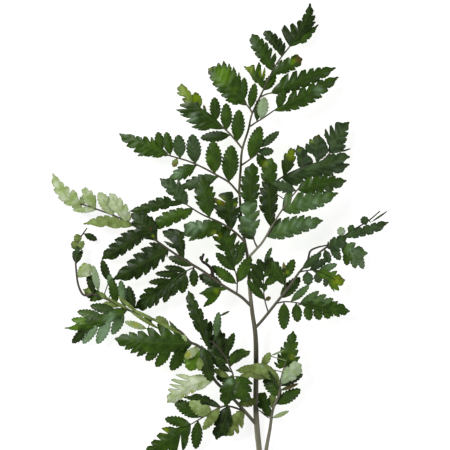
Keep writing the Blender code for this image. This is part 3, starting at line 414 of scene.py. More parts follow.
PINNAE["right_3"] = [
    stalk((240.5, 206, 14.6), (251, 199, 12), (262, 192, 10.4), (282.5, 177, 10), (300, 168.5, 10.4),
          (312, 164, 10), (322, 161, 9.6), (329, 154, 9), (336, 145, 7.6), sizes=(2.2, 1.6)),
    leaf(283.5, 176.5, 292.5, 149, 13, 3, "deep", lobes=3, marks=(("yellow", 291, 154, 6),)),
    blade([(303, 168.5), (301, 158), (297.5, 144.5)], [(299, 167), (297, 158, 0), (295.6, 149.5, 0.15)],
          [(313, 163.6), (312.4, 159, 0), (309.6, 156, 0), (302.5, 147, 0.1)], 1, "dark_with_painted_sheen",
          marks=(("yellow", 299.5, 150, 1.6),)),
    blade([(317, 162), (316, 149), (319, 134)],
          [(315.9, 161), (315.2, 157.5), (312.4, 154), (303.5, 149), (306.5, 143, 0.15), (310, 138.5, 0.3),
           (314.5, 136, 0.3)],
          [(320.5, 159.5), (329, 151), (326.8, 145), (323, 138.4)], 3, "dark_with_painted_sheen", depth=0,
          marks=(("brown", 317.5, 136, 2.4), ("yellow", 312, 141, 2))),
    blade([(329.5, 153), (337, 138), (350, 121.5)],
          [(329, 145.4), (326.6, 139, 0), (323.8, 134, 0), (325.8, 128, 0.3), (331.5, 124.4, 0.5),
           (337, 121.4, 0.5)],
          [(341.7, 151.6), (346.3, 145.5, 0), (347.3, 138.5, 0.25), (348.8, 132.4, 0.25), (349, 127.2, 0.6)],
          -3, "dark_with_painted_sheen"),
    leaf(340, 152, 351, 148.4, 1.8, -1, "dark_with_painted_sheen"),
    blade([(292, 173.5), (322, 166), (351, 156.5)],
          [(303, 168), (316, 163), (323, 160), (328.5, 155), (334.5, 153.4), (345.5, 152.6, 0.2)],
          [(306, 174), (322, 171, 0.2), (336, 166, 0.3), (345, 161, 0.4)], -7, "dark_with_painted_sheen", depth=0),
    blade([(282, 177.5), (315, 172.5), (350.5, 164)],
          [(298, 169.5), (316, 167, 0.2), (332, 164, 0.3), (342, 161.5, 0.4)],
          [(286, 182.5), (298, 186, 0), (303, 180.6, 0.1), (312, 178.8, 0.3), (323, 177.2, 0.4),
           (334, 175.2, 0.45), (343.4, 171.8, 0.45)], -8, "dark_with_painted_sheen"),
]
PINNAE["right_2"] = [
    stalk((248, 258, 14), (256.7, 248.7, 18), (263.5, 240.5, 20.5), (276, 219, 23), (289.4, 199.6, 22),
          (299.4, 187.4, 20), sizes=(2.6, 1.6), tones=(0.9, 0.5)),
    blade([(271, 227), (269.5, 205), (267.5, 184)],
          [(263, 214), (258.5, 205, 0.3), (259, 196), (260, 187.5), (262, 181, 0.4)],
          [(275.5, 214), (277.6, 204, 0.3), (277.6, 194), (278, 187), (274, 181.5, 0.4)], 2, "deep"),
    blade([(270.5, 190), (270, 175), (271.6, 157.8)],
          [(262, 182), (260.5, 173), (261.5, 164.8), (266.3, 159.2)],
          [(274, 183), (277.3, 173.5), (276.9, 164.6)], -2, marks=(("yellow", 265, 164, 3.4),)),
    leaf(298, 192.5, 272, 183, 12, 3, "dark_with_painted_sheen", lobes=5),
    blade([(266, 236), (295, 227), (323.5, 220.4)],
          [(273.5, 222), (281, 217.8, 0.2), (289.2, 216.4), (297, 215.4, 0.4), (304.4, 214.8, 0.4),
           (311, 216, 0.4), (317.5, 217.2, 0.4)],
          [(276, 239.2), (285, 238.8, 0.3), (294, 236.4), (302, 233.5), (309.5, 231), (316, 227.8)],
          -8, "some_painted_sheen", marks=(("painted_sheen", 283, 229, 7), ("painted_sheen", 297, 224, 6), ("painted_sheen", 309, 222, 5))),
    blade([(283, 210.5), (311, 203), (338.5, 193)],
          [(285, 194), (292.5, 191.8, 0), (303.5, 191.8, 0.7), (312.5, 191, 0.4), (321, 190.3, 0.4),
           (330, 190.6, 0.4)],
          [(291, 214.6), (300.2, 213, 0.3), (308.6, 210.6), (317, 208.8), (324.5, 206), (331.5, 200.5)],
          -7, "some_painted_sheen", marks=(("painted_sheen", 300, 205, 6), ("painted_sheen", 314, 201, 5), ("painted_sheen", 326, 197, 4))),
    blade([(298, 190), (323, 184), (347, 180.3)],
          [(304, 179.5), (312, 175.5, 0.25), (320, 174.5, 0.4), (327.5, 174.6, 0.4), (335.5, 176, 0.4),
           (341.5, 178, 0.4)],
          [(307, 194.3), (315.5, 193.5, 0.3), (324, 192.3), (333.6, 190.6), (341.8, 186.6)], -6),
]
PINNAE["right_2_top"] = [
    stalk((257, 247, 18.4), (254, 240, 20.4), (253, 230, 22)),
    blade([(253.5, 237), (250, 222), (247.5, 200)],
          [(246, 233), (240.5, 226, 0.4), (240, 216, 0.5), (240.5, 205, 0.5)],
          [(256.4, 230), (260, 219), (259.5, 210, 0.5), (257, 200.5, 0.45)], 2, "painted_sheen"),
    blade([(250.5, 207), (249.5, 186), (252.8, 162.8)],
          [(243, 200), (240, 192, 0.3), (240.6, 184), (241.6, 176), (245.6, 167.4)],
          [(257, 200), (259.2, 192, 0.3), (259.8, 184), (259.3, 175.4), (257.8, 167.4)], -2),
    leaf(254, 240, 238, 225, 10, -3, "deep"),
    leaf(253.5, 236, 238, 214, 8, -5),
]
PINNAE["right_1"] = [
    stalk((254.5, 329, 11), (263.6, 318.7, 14), (275.6, 303.6, 17), (290, 285.5, 19), (301, 270, 19.4),
          (320, 252, 18), (335, 242, 15.6), (355, 229, 11), (368.5, 221, 7), (380.6, 211, 4),
          sizes=(3, 1.6)),
    leaf(280, 299, 300, 277.5, 12.5, -5),
    leaf(302, 270, 321, 253, 8.6, 3, "dark_with_painted_sheen"),
    leaf(325, 250, 329.6, 263, 8, -6, "dark_with_painted_sheen"),
    leaf(331, 246.5, 340.6, 260, 8.6, -7, "dark_with_painted_sheen"),
    blade([(327, 248), (335, 243), (347, 237)], [(328, 241), (335, 236.5, 0.4), (342, 234.5, 0.4)],
          [(333, 251), (341, 251, 0.3), (346, 245, 0.3)], -3, "dark_with_painted_sheen"),
    blade([(341, 239), (353, 252), (368.5, 253.5)], [(348, 243.3), (356, 243, 0.2), (363, 248, 0.5)],
          [(342, 252), (349, 257, 0), (356, 260, 0), (363, 258.5, 0)], -8, "some_painted_sheen",
          marks=(("painted_sheen", 352, 250, 8),),
          fingers=(leaf(347, 248, 347, 265.5, 8.5), leaf(352, 250, 355.5, 268.5, 8, look="some_painted_sheen"),
                   leaf(357.5, 252, 363.5, 269, 8, look="some_painted_sheen"))),
    leaf(343, 237.5, 340, 227, 8.5, 4, "pale_painted_sheen"),
    leaf(349, 234, 353, 225, 7, 3, "dark_with_painted_sheen"),
    blade([(344, 237.5), (367, 230), (389.5, 222)],
          [(353, 229.5), (361, 227, 0.3), (369, 224.6), (376, 222.5), (383, 221)],
          [(351, 238.3), (359, 237.3, 0.3), (366, 235.6), (374, 233.5), (382.6, 229.4)], -8.5, "dark_with_painted_sheen"),
    leaf(366.4, 225.5, 363.6, 216.4, 8.6, 2, "dark_with_painted_sheen"),
    leaf(371, 222.5, 388, 211, 2, -2, "dark_with_painted_sheen"),
]
PINNAE["right_1_top"] = [
    rib((267.4, 312, 15.2), (264.8, 300, 16), (263.4, 285, 17), (265, 268, 17.4)),
    leaf(265, 300, 247.3, 280.4, 8.8),
    leaf(264, 289.5, 250, 271.3, 8.2, look="deep"),
    leaf(264, 281, 252, 264, 10, look="deep"),
    leaf(264, 285.4, 279.2, 274.2, 8.6),
    leaf(264.2, 292, 265, 283.5, 5.6),
    leaf(265.4, 300.4, 270.6, 297, 4.4, look="dark_with_painted_sheen", marks=(("brown", 269, 298, 4),)),
    leaf(264.8, 272, 257.6, 259, 7.8, look="deep"),
    leaf(264.6, 277, 278.5, 262, 10.5),
    leaf(264.5, 271, 272, 257.5, 9, look="deep"),
    leaf(264, 264, 271.5, 247.5, 5, look="dark_with_painted_sheen"),
]
PINNAE["right_1_mid"] = [
    rib((286, 289.8, 18.6), (284.4, 279.4, 21)),
    leaf(285.5, 286, 272, 261.5, 11.5),
    leaf(284.5, 277, 283.5, 262, 4, look="olive", marks=(("brown", 283.6, 266, 7),)),
    leaf(284.3, 279, 293.8, 259.3, 9.8, marks=(("yellow", 287, 272, 2),)),
]
PINNAE["right_1_twig"] = [
    stalk((306, 265.2, 19), (308, 259, 21), (310.2, 251, 22), (317, 247.4, 22.6), (327, 245.2, 18),
          sizes=(2.4, 1.8), tones=(0.1, 0.1)),
]
PINNAE["right_1_low"] = [
    rib((275, 302.6, 17), (286, 301.6, 16.4), (300, 303.2, 14.4), (315, 306, 12), (330, 308, 9.4)),
    leaf(284, 302.5, 283.8, 329.5, 12),
    leaf(296, 303, 297.6, 322, 10.6),
    leaf(307, 304, 309.5, 320.5, 9.8),
    leaf(316, 305.5, 319.8, 320, 9.6),
    leaf(325, 307, 329, 318.8, 9),
    leaf(290, 303.5, 309, 285.5, 7.8, look="some_painted_sheen"),
    leaf(298.6, 305.6, 319, 291.3, 7.4, look="some_painted_sheen"),
    leaf(307.6, 306.4, 326.5, 294.8, 7, look="some_painted_sheen"),
    leaf(315.6, 307.4, 333.5, 298.8, 7, look="some_painted_sheen"),
    blade([(300, 304), (318, 306.5), (335, 309), (350.5, 311.5)],
          [(306, 302), (318, 302.5, 0), (328, 303.5, 0), (338.5, 301.3, 0.2), (344, 304.5)],
          [(306, 307.5), (318, 310, 0), (328, 312.5, 0), (333.5, 317, 0.3), (340, 317.2), (345.8, 315.2)],
          depth=0.4),
]
PINNAE["right_1_side"] = [
    rib((299.5, 271.5, 19.3), (312, 270, 17), (322, 272.6, 14.6), (335, 280, 11)),
    leaf(309, 272, 328, 258.5, 8, look="dark_with_painted_sheen"),
    leaf(317, 273.6, 337, 264.2, 7.6, look="painted_sheen"),
    leaf(307, 271.5, 308.5, 285, 11, look="dark_with_painted_sheen"),
    leaf(317, 271.5, 318.8, 283, 8.8, look="dark_with_painted_sheen"),
    leaf(326.5, 276, 325.4, 286.8, 6.2, look="dark_with_painted_sheen"),
    blade([(312, 271), (323, 273.5), (335, 279), (345.5, 280)],
          [(318, 269.8), (331, 272, 0), (337.6, 271, 0.3), (341, 276, 0.5)],
          [(318, 274.5), (327, 281, 0), (334.8, 292.4, 0.4), (339.6, 290.6, 0.3), (343, 284.8, 0.4)],
          look="bright", marks=(("yellow", 338, 281, 6), ("brown", 341, 279, 2))),
]
PINNAE["left_0"] = [
    stalk((256.2, 425, 4.8), (247, 414, 9), (240, 406, 12), (229, 394, 16), (215, 380, 20), (208, 364, 22),
          (200, 347, 22.4), (190, 341.5, 22), (180, 331, 20.4), (165, 325, 17.6), (150, 318, 14.8),
          (128, 310, 11.6), (108, 300, 9.4), (90, 293.5, 8), sizes=(3.4, 2.2)),
    leaf(238, 403, 256.5, 401, 10, 4, "olive"),
    blade([(212, 379), (190, 386), (167, 403)],
          [(205, 375), (192, 375.4, 0), (175.2, 374.6, 0.1), (170.6, 380, 0.75), (169, 384.4, 0.7),
           (167.6, 390, 0.65), (166.6, 396.5, 0.4)],
          [(207, 385.5), (197, 390.5, 0), (191.5, 393.4, 0.25), (185.5, 396.6, 0.45), (180, 400, 0.45),
           (174, 403.4)], -9, "white", marks=(("yellow", 192, 392, 2.5), ("yellow", 184, 396, 2.5))),
    leaf(202, 345, 211, 380.5, 15, 5, "deep"),
    leaf(197, 344.5, 190, 370, 19, 6, "bright", marks=(("yellow", 190, 353, 5),)),
    leaf(200, 347, 185, 357, 9, 9, "pale", marks=(("yellow", 188, 354, 4),)),
    leaf(203, 350, 199, 370, 8, 7, "olive"),
    blade([(192, 343.5), (168, 343), (141, 341), (114.3, 338.8)],
          [(183, 337), (169, 320), (157, 324, 0.6), (147, 328, 0.6), (137.5, 331.3, 0.55),
           (129, 331.8, 0.45), (121, 334.5, 0.4)],
          [(188, 349), (174, 352), (160, 354), (148, 353), (136.4, 356.4, 0.2), (130, 353.2, 0.45),
           (124.4, 349.6, 0.45), (119, 345.4, 0.4)], -10, depth=0.1,
          fingers=(leaf(187, 345, 171, 370, 13.6), leaf(171.4, 346, 156, 366.4, 11),
                   leaf(159, 348, 146, 360, 9.5))),
    leaf(169, 329, 156.5, 316.5, 9, 5, "olive"),
    leaf(179, 333, 187, 341, 4, 3, "pale"),
    leaf(147.5, 329, 125, 321.5, 7, 2, "pale", marks=(("yellow", 136, 325, 2.4),)),
    blade([(127, 310.5), (99, 321), (63.2, 328.8)],
          [(119, 308), (106, 313), (94, 318.5), (80, 323.6), (71, 326.6)],
          [(121, 317), (106, 323.5), (94, 327.5), (80, 330), (70, 330)], -10.5, depth=0,
          marks=(("painted_sheen", 111, 319, 8), ("tone", 72, 327, 8)),
          fingers=(leaf(117, 311.5, 90, 305.8, 10), leaf(104, 317.5, 77, 311.8, 9.6),
                   leaf(95, 323, 71, 319.8, 8.2, marks=(("tone", 78, 321, 12),)),
                   leaf(124, 312, 112, 334.5, 10.4, look="painted_sheen"),
                   leaf(110.2, 317, 97, 344, 11.4, look="strong_painted_sheen"),
                   leaf(98.5, 322, 82.5, 344, 9.4, look="strong_painted_sheen"),
                   leaf(90, 326, 71.5, 343.5, 9.6, look="deep"))),
    leaf(133.5, 311, 128.5, 286, 10, 3, "deep"),
    leaf(125, 309, 120.5, 280.5, 9, 2, "painted_sheen"),
    leaf(116, 305, 111.6, 279, 10, 3),
    leaf(108.5, 282, 102, 260, 8.5, 4, "deep"),
    leaf(94, 294, 87.5, 270.5, 8, -1, "deep"),
    blade([(103, 299), (93, 295), (82, 289.5)], [(98, 290), (88, 287.2, 0.1)],
          [(98, 301), (89, 301, 0.2), (84.5, 295, 0.3)], -7, marks=(("yellow", 86, 291, 5),)),
    leaf(98.4, 292, 93.2, 265.5, 7.4, 6, "pale_painted_sheen"),
    leaf(112, 290, 108.5, 273, 6.5, 2, "painted_sheen"),
    leaf(121, 306.5, 103.5, 303, 6, -4, "olive"),
    leaf(140, 313, 118, 296, 4, 3, "olive"),
    leaf(143, 315, 152, 322.5, 4, 2, "dark_with_painted_sheen"),
    leaf(184, 336, 152, 317.5, 4, 1, "olive"),
    leaf(160, 323, 131, 308.5, 3.6, 0, "olive"),
    leaf(161, 330, 130, 311, 3.8, 0, "olive"),
    leaf(133, 312, 106, 297, 3, 1, "olive"),
    leaf(108, 300, 99, 292.5, 5, 3, "olive"),
]
PINNAE["left_0_tail"] = [
    stalk((92, 294, 8.2), (83.6, 295, 10.6), (78.5, 286, 11), (76.2, 272, 10), (75.5, 256, 8), (79, 240, 6),
          (86.7, 228, 5), sizes=(2.4, 1.7)),
    blade([(78, 277), (84, 270), (90.5, 264)], [(77.5, 272), (80, 266, 0), (85, 262.6, 0.1)],
          [(84.5, 277), (91.5, 275, 0), (93, 268, 0.15)], 3, "pale"),
    leaf(77, 264, 73, 251, 4.5, -2, "deep"),
    leaf(78, 264, 82, 250, 5, -1, "deep"),
    leaf(78, 252, 83.5, 241, 6.5, 2, "olive"),
    leaf(77.5, 251, 72.5, 241, 7.5, -1, "olive"),
    leaf(79.5, 244, 76.5, 234, 8, 1, "olive"),
    leaf(78, 258, 78, 246, 5.5, 3, "dark_with_painted_sheen"),
    leaf(83, 233.5, 96.5, 240, 7, -2, "deep"),
]
PINNAE["left_0_low"] = [
    stalk((245, 411.5, 9.6), (230, 406.5, 12), (220, 407.5, 13.4), (205, 416, 13), (190, 425, 11),
          sizes=(2.2, 1.6)),
    leaf(213, 415.5, 189.5, 401, 15.5, 6, "mild"),
    blade([(221, 407.5), (203, 399), (183, 397)], [(212, 399), (204, 395, 0.2), (194.5, 393.6, 0.3)],
          [(208, 405), (195, 402.5, 0.1)], 4, "deep"),
    leaf(203.6, 418.4, 174.5, 401.6, 14.8, 0),
    leaf(192, 426, 165, 418.8, 10.5, 3),
    leaf(198, 420, 195.6, 449.6, 11.5, -8),
    blade([(191, 425.5), (168, 440), (143, 455)],
          [(178, 427.5), (161, 428.6, 0.1), (156.3, 436.5, 0.6), (150.5, 443.6, 0.6), (146, 449.5, 0.5)],
          [(190, 434), (182.5, 452.5, 0.1), (171, 456, 0.85), (156, 457, 0.4)], -10.5,
          marks=(("yellow", 165, 431, 4),)),
    leaf(220.5, 408.5, 203, 429.5, 9.4, 3, "olive"),
    blade([(229, 407), (224, 423), (216, 440.3)], [(220, 411), (213.5, 425, 0.1), (212.4, 434, 0.3)],
          [(231.5, 415), (230.5, 427, 0.15), (226, 435.5, 0.3)], -3, "deep"),
    blade([(244.5, 411), (235, 421), (225, 436.8)], [(236, 411.5), (229, 420, 0.2), (225, 429, 0.3)],
          [(243.8, 420), (242, 429, 0.4), (237.6, 434.6, 0.5), (231, 436.5, 0.5)], -1, "olive"),
]
PINNAE["left_0_top"] = [
    stalk((226, 391, 17), (233, 377, 22), (230, 367, 25), (225, 356, 27), (213, 342, 28), (200, 338, 27)),
    blade([(208.5, 347), (198.5, 318), (188.5, 290)],
          [(201, 335), (192.3, 321, 0.15), (188.6, 312.5), (186.6, 304.5), (186, 297)],
          [(207.4, 330), (207.4, 318), (201, 307.5, 0.45), (196.2, 299.5, 0.45), (192.6, 293, 0.4)],
          -2, "deep"),
    leaf(208, 343, 210.5, 320.5, 7, -4, "deep"),
    leaf(224, 358, 205, 334, 15, -5, "deep"),
    leaf(222, 357, 217, 329, 17, -4, "deep", lobes=4),
    leaf(225, 362, 223.4, 337, 8, -2, "deep"),
    leaf(226, 364, 207, 350, 16, -6, "deep"),
    leaf(215.4, 338, 218.8, 311.6, 8.2, 5, "painted_sheen"),
    leaf(219, 316, 229.5, 310.6, 2.4, 5, "dark_with_painted_sheen"),
    leaf(222.6, 357, 234, 332.4, 8.4, 3, "deep"),
    blade([(229, 366.5), (234.5, 356.5), (250.5, 351)], [(228, 358), (234.5, 350.5), (243, 348.2)],
          [(234, 363), (243, 357.4), (249.4, 354)], -2, depth=0),
    leaf(231, 372, 213, 360.5, 7, -2, "deep"),
    leaf(230, 377, 213, 369, 7, -3, "olive"),
    leaf(231, 381, 216, 376, 8, -5, "deep"),
    blade([(231, 375), (229, 391), (226, 406.5)], [(221.5, 383), (219.5, 392, 0.2), (220, 400, 0.25)],
          [(238, 388), (236, 398, 0.2)], -2, marks=(("painted_sheen", 230, 381, 4),)),
    blade([(236, 376), (241, 389), (244, 402)], [(233, 388), (235.5, 398, 0.2)],
          [(249, 378.5), (253, 384, 0.3), (251.8, 391.5), (250.5, 398.5)], 3),
]
PINNAE["right_0"] = [
    stalk((261.8, 488, 2.7), (264.5, 468, 3.4), (266.5, 450, 4.6), (270, 430, 6.6), (273, 410, 9),
          (279, 395, 11), (280.5, 382, 12.4), (284, 368, 13.4), (288, 354, 13.6), sizes=(4.7, 1.6),
          tones=(0.9, 0.6)),
    blade([(270.5, 418), (266, 406), (260, 393)], [(262, 411), (256.5, 403, 0.2), (255.5, 395.5)],
          [(270.5, 407), (269, 398, 0.3), (265, 392.5, 0.4)], -1),
    leaf(282, 396.5, 264, 378, 14, -5),
    blade([(281, 388), (272, 374), (258, 367), (235.5, 370.3)],
          [(279.5, 379), (272.5, 368), (263, 363.4), (250, 364.6), (240, 367.4)],
          [(271, 380), (262, 374.5), (250, 371), (240, 373)], 6, "olive", depth=0,
          marks=(("painted_sheen", 262, 366, 2),)),
    blade([(268, 377.5), (252, 373), (236, 382)], [(262, 373), (250, 369.4), (240, 375.5)],
          [(262, 379.5), (250, 376.6), (241, 381.5)], 7, "olive", depth=0),
    leaf(262, 367, 270, 352.4, 8, 6, "olive"),
    leaf(270, 356, 284.5, 349.8, 2.2, 6, "pale_painted_sheen"),
    leaf(281.4, 391, 268.6, 370.6, 4, 8, "deep"),
    blade([(285, 368), (289.5, 351), (293.5, 330.5)],
          [(279, 369), (274, 361.5, 0.15), (278, 353.5, 0.45), (281, 346.5, 0.45), (284.5, 341.5),
           (288.5, 335)],
          [(296, 365), (300.5, 356.5), (298.5, 349.5, 0.45), (298.3, 342), (296.6, 335.5)], -5, depth=0.4,
          marks=(("yellow", 292, 357, 3),)),
    blade([(280.3, 384), (290, 375), (301.5, 364)], [(282.5, 374), (287, 366, 0.15), (295, 360.5, 0.25)],
          [(289, 382), (297, 377.5, 0.25), (302.4, 371, 0.3)], 5, "pale_painted_sheen"),
    leaf(280.5, 386.5, 303, 374.5, 8, -5, "deep"),
    leaf(280.5, 391, 298.5, 384, 4, -4, "dark_with_painted_sheen", marks=(("brown", 292, 386, 9),)),
    leaf(277, 405.5, 300.6, 389.8, 12.4, -4),
    leaf(273, 419, 289, 411.5, 4.5, -1, "pale"),
    leaf(272.5, 410, 272.5, 394, 9, -3, "olive"),
    leaf(270.5, 420, 258, 409.5, 1.8, 2, "deep"),
]


# Measuring along paths

def spot(x, y, z):
    """A place of the layout in metres."""
    return ((x - CENTRE_X) * MM, (CENTRE_Y - y) * MM, z * MM)


def measure(points, path):
    """For each point: its distance from a flat path, its share along it, and the side it lies on."""
    points = np.asarray(points, float)[:, :2]
    path = np.asarray(path, float)[:, :2]
    lengths = np.linalg.norm(path[1:] - path[:-1], axis=1)
    runs = np.concatenate(([0.0], np.cumsum(lengths)))
    best = np.full(len(points), np.inf)
    share = np.zeros(len(points))
    side = np.ones(len(points))
    for i, (start, end) in enumerate(zip(path, path[1:])):
        step = end - start
        along = np.clip((points - start) @ step / (step @ step), 0.0, 1.0)
        off = points - (start + along[:, None] * step)
        gap = np.linalg.norm(off, axis=1)
        nearer = gap < best
        best[nearer] = gap[nearer]
        share[nearer] = ((runs[i] + along * lengths[i]) / runs[-1])[nearer]
        side[nearer] = np.sign(step[0] * off[:, 1] - step[1] * off[:, 0])[nearer]
    return best, share, side


def place_on(path, share):
    """The places at these shares of a path's length, with all the numbers that its points hold."""
    path = np.asarray(path, float)
    runs = np.concatenate(([0.0], np.cumsum(np.linalg.norm(path[1:, :2] - path[:-1, :2], axis=1))))
    return np.stack([np.interp(np.asarray(share) * runs[-1], runs, numbers) for numbers in path.T], axis=-1)


def smooth_path(points, step):
    """A smooth curve through the points of a stalk, with a point every step or so."""
    points = [np.array(p, float) for p in points]
    ends = [2 * points[0] - points[1], *points, 2 * points[-1] - points[-2]]
    out = [points[0]]
    for a, b, c, d in zip(ends, ends[1:], ends[2:], ends[3:]):
        count = max(1, round(float(np.linalg.norm(c - b)) / step))
        for i in range(1, count + 1):
            t = i / count
            out.append(0.5 * (2 * b + (c - a) * t + (2 * a - 5 * b + 4 * c - d) * t * t
                              + (3 * b - a - 3 * c + d) * t ** 3))
    return np.array(out)


# Outlines

def leaflet_half(along):
    """Half the width of a leaflet, as a share of its width, along its midrib."""
    if along < WIDEST:
        return 0.5 * math.sin(along / WIDEST * math.pi / 2) ** 0.85
    return 0.5 * math.cos((along - WIDEST) / (1 - WIDEST) * math.pi / 2) ** 0.62


def tooth(phase):
    """Height of a forward tooth over its notch, from 0 to 1, as the margin runs from base to tip."""
    if phase < TOOTH_PEAK:
        return math.sin(phase / TOOTH_PEAK * math.pi / 2) ** 0.8
    return math.cos((phase - TOOTH_PEAK) / (1 - TOOTH_PEAK) * math.pi / 2)


def leaflet_side(base, tip, width, sign, lobes):
    """One margin of a leaflet, from its base to just before its tip, which cuts the last tooth short."""
    run = tip - base
    across = Vector((run.y, -run.x)).normalized() * sign * width * FULLNESS
    teeth = lobes + 0.8 if lobes else max(3, round(run.length / TOOTH_STEP)) + 0.5
    bite = LOBE_SHARE if lobes else TOOTH_SHARE
    count = int(max(run.length / RIM_STEP, teeth * 5))
    points = []
    for i in range(1, count):
        along = i / count
        rise = tooth(along * teeth % 1)
        out = leaflet_half(along) * (1 - bite * min(1, TOOTHED_FROM * along) * (1 - rise))
        points.append(base + run * (along + TOOTH_LEAN * rise / teeth) + across * out)
    return points


def leaflet_veins(base, tip, width):
    """The side veins of a leaflet, in pairs from its midrib forward to its margins."""
    run = tip - base
    across = Vector((run.y, -run.x)).normalized()
    count = max(2, round(run.length / VEIN_STEP))
    veins = []
    for k in range(count):
        share = (k + 0.6) / (count + 0.8)
        ahead = min(share + VEIN_AHEAD, 0.97)
        half = width * leaflet_half(ahead) * VEIN_REACH
        for sign in (1, -1):
            veins.append([base.lerp(tip, share * 0.9), base.lerp(tip, ahead) + across * sign * half])
    return veins


def blade_side(axis, tips, depth):
    """The corners of one side of a lobed blade, from base to tip, each with its kind.

    A notch lies between two lobe tips, and a deep one has a shoulder where its far side starts.
    """
    corners = []
    for tip in tips:
        place = Vector(tip[:2])
        cut = tip[2] if len(tip) > 2 else depth
        if cut and corners:
            mouth = corners[-1][0].lerp(place, NOTCH_LEAN)
            share = measure([mouth], axis)[1][0]
            inner, ahead = (Vector(place_on(axis, [s])[0]) for s in (share, min(1, share + 0.05)))
            back = (ahead - inner).normalized() * (inner - mouth).length * cut * SLIT_LEAN
            corners.append((mouth.lerp(inner, cut) - back, NOTCH))
            if cut >= DEEP_NOTCH:
                shoulder = corners[-2][0].lerp(place, SHOULDER_LEAN)
                corners.append((shoulder.lerp(inner, SHOULDER_INSET), SHOULDER))
        corners.append((place, TIP))
    mouth = corners[-1][0].lerp(axis[-1], END_LEAN)
    inner = Vector(place_on(axis, measure([mouth], axis)[1])[0])
    return corners + [(mouth.lerp(inner, END_DEPTH), NOTCH)]


def margin(corners, outwards):
    """One margin of a blade through its corners, with bulges and small teeth, from its base to its tip."""
    points = [corners[0][0]]
    for (start, start_kind), (end, end_kind) in zip(corners, corners[1:]):
        chord = end - start
        length = chord.length
        out = Vector((chord.y, -chord.x)).normalized() * outwards
        bulge, lean = BULGES[start_kind, end_kind]
        teeth = max(1, round(length / TOOTH_STEP))
        toothed = length > TOOTHED_MIN and end_kind in (TIP, END) and start_kind != FOOT
        count = max(2, round(length / RIM_STEP))
        for i in range(1, count + 1):
            t = i / count
            rise = min(bulge * length, BULGE_MOST) * math.sin(math.pi * t ** lean)
            if toothed and i < count:
                fade = min(1, TOOTH_FADE * t * (1 - t))
                rise += TOOTH_HEIGHT * (tooth(t * teeth % 1) - TOOTH_MEAN) * fade
            points.append(start + chord * t + out * rise)
    return points


def area_of(points):
    """Twice the signed area inside a closed outline."""
    return sum(a.x * b.y - b.x * a.y for a, b in zip(points, points[1:] + points[:1]))


def outline_of(entry, axis, foot, gap):
    """The whole outline of a leaf, and its side veins, from the foot where it grows on its stalk."""
    necked = gap > NECK_MIN
    tip = axis[-1]
    run = ((axis[0] if necked else tip) - foot).normalized()
    across = Vector((run.y, -run.x)) * NECK_WIDTH / 2
    if "sides" not in entry:
        base = axis[0] if necked else foot
        sides = [leaflet_side(base, tip, entry["width"], sign, entry["lobes"]) for sign in (1, -1)]
        neck = [foot + across, base + across] if necked else [foot + across]
        back = [base - across, foot - across] if necked else [foot - across]
        return neck + sides[0] + [tip] + sides[1][::-1] + back, leaflet_veins(base, tip, entry["width"])

    sides = [blade_side(axis, tips, entry["depth"]) for tips in entry["sides"]]
    if across.dot(sides[0][0][0] - axis[0]) < 0:
        across = -across
    lines = []
    veins = []
    for side, offset in zip(sides, (across, -across)):
        start = [(foot + offset, FOOT)]
        if necked:
            start.append((axis[0] + offset, FOOT))
        lines.append(start + side + [(tip, END)])
        for place, kind in side:
            if kind == TIP:
                share = measure([place], axis)[1][0]
                root = Vector(place_on(axis, [max(VEIN_FIRST, share - VEIN_BACK)])[0])
                veins.append([root, root.lerp(place, VEIN_REACH)])
    loop = [corner[0] for corner in lines[0] + lines[1][::-1]]
    outwards = 1 if area_of(loop) > 0 else -1
    return margin(lines[0], outwards) + margin(lines[1], -outwards)[-2::-1], veins


def grid_inside(outline):
    """Points of a triangular grid that lie inside an outline, clear of its edge."""
    rim = np.array([tuple(p) for p in outline])
    low = rim.min(0)
    high = rim.max(0)
    rows = []
    for j, y in enumerate(np.arange(low[1] + GRID_CLEAR, high[1], GRID * GRID_ROWS)):
        shift = GRID / 2 if j % 2 else 0.0
        rows += [(x, y) for x in np.arange(low[0] + shift, high[0], GRID)]
    points = np.array(rows).reshape(-1, 2)
    inside = np.zeros(len(points), bool)
    for (x0, y0), (x1, y1) in zip(rim, np.roll(rim, -1, axis=0)):
        if y0 != y1:
            crosses = (y0 > points[:, 1]) != (y1 > points[:, 1])
            inside ^= crosses & (points[:, 0] < (x1 - x0) * (points[:, 1] - y0) / (y1 - y0) + x0)
    points = points[inside]
    if not len(points):
        return points
    return points[measure(points, [*rim, rim[0]])[0] > GRID_CLEAR]


# Pieces

class Piece:
    """Gathers blades and stalks, then becomes one object."""

    def __init__(self, name):
        self.name = name
        self.verts = []
        self.faces = []
        self.slots = []
        self.marks = {kind: [] for kind in MARKS}

    def add(self, verts, faces, slots, marks):
        first = len(self.verts)
        self.verts += verts
        self.faces += [tuple(first + i for i in face) for face in faces]
        self.slots += slots
        for kind, values in self.marks.items():
            values += list(marks.get(kind, np.zeros(len(verts))))

    def finish(self, materials):
        mesh = bpy.data.meshes.new(self.name)
        mesh.from_pydata(self.verts, [], self.faces)
        for material in materials:
            mesh.materials.append(material)
        mesh.polygons.foreach_set("material_index", self.slots)
        for kind, values in self.marks.items():
            made = mesh.attributes.new(kind, "FLOAT", "POINT")
            made.data.foreach_set("value", np.array(values, np.float32))
        mesh.shade_smooth()
        mesh.set_sharp_from_angle(angle=math.radians(SHARP_ANGLE))
        mesh.update()
        obj = bpy.data.objects.new(self.name, mesh)
        bpy.context.scene.collection.objects.link(obj)
        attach(obj, "root")
        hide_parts("frond")


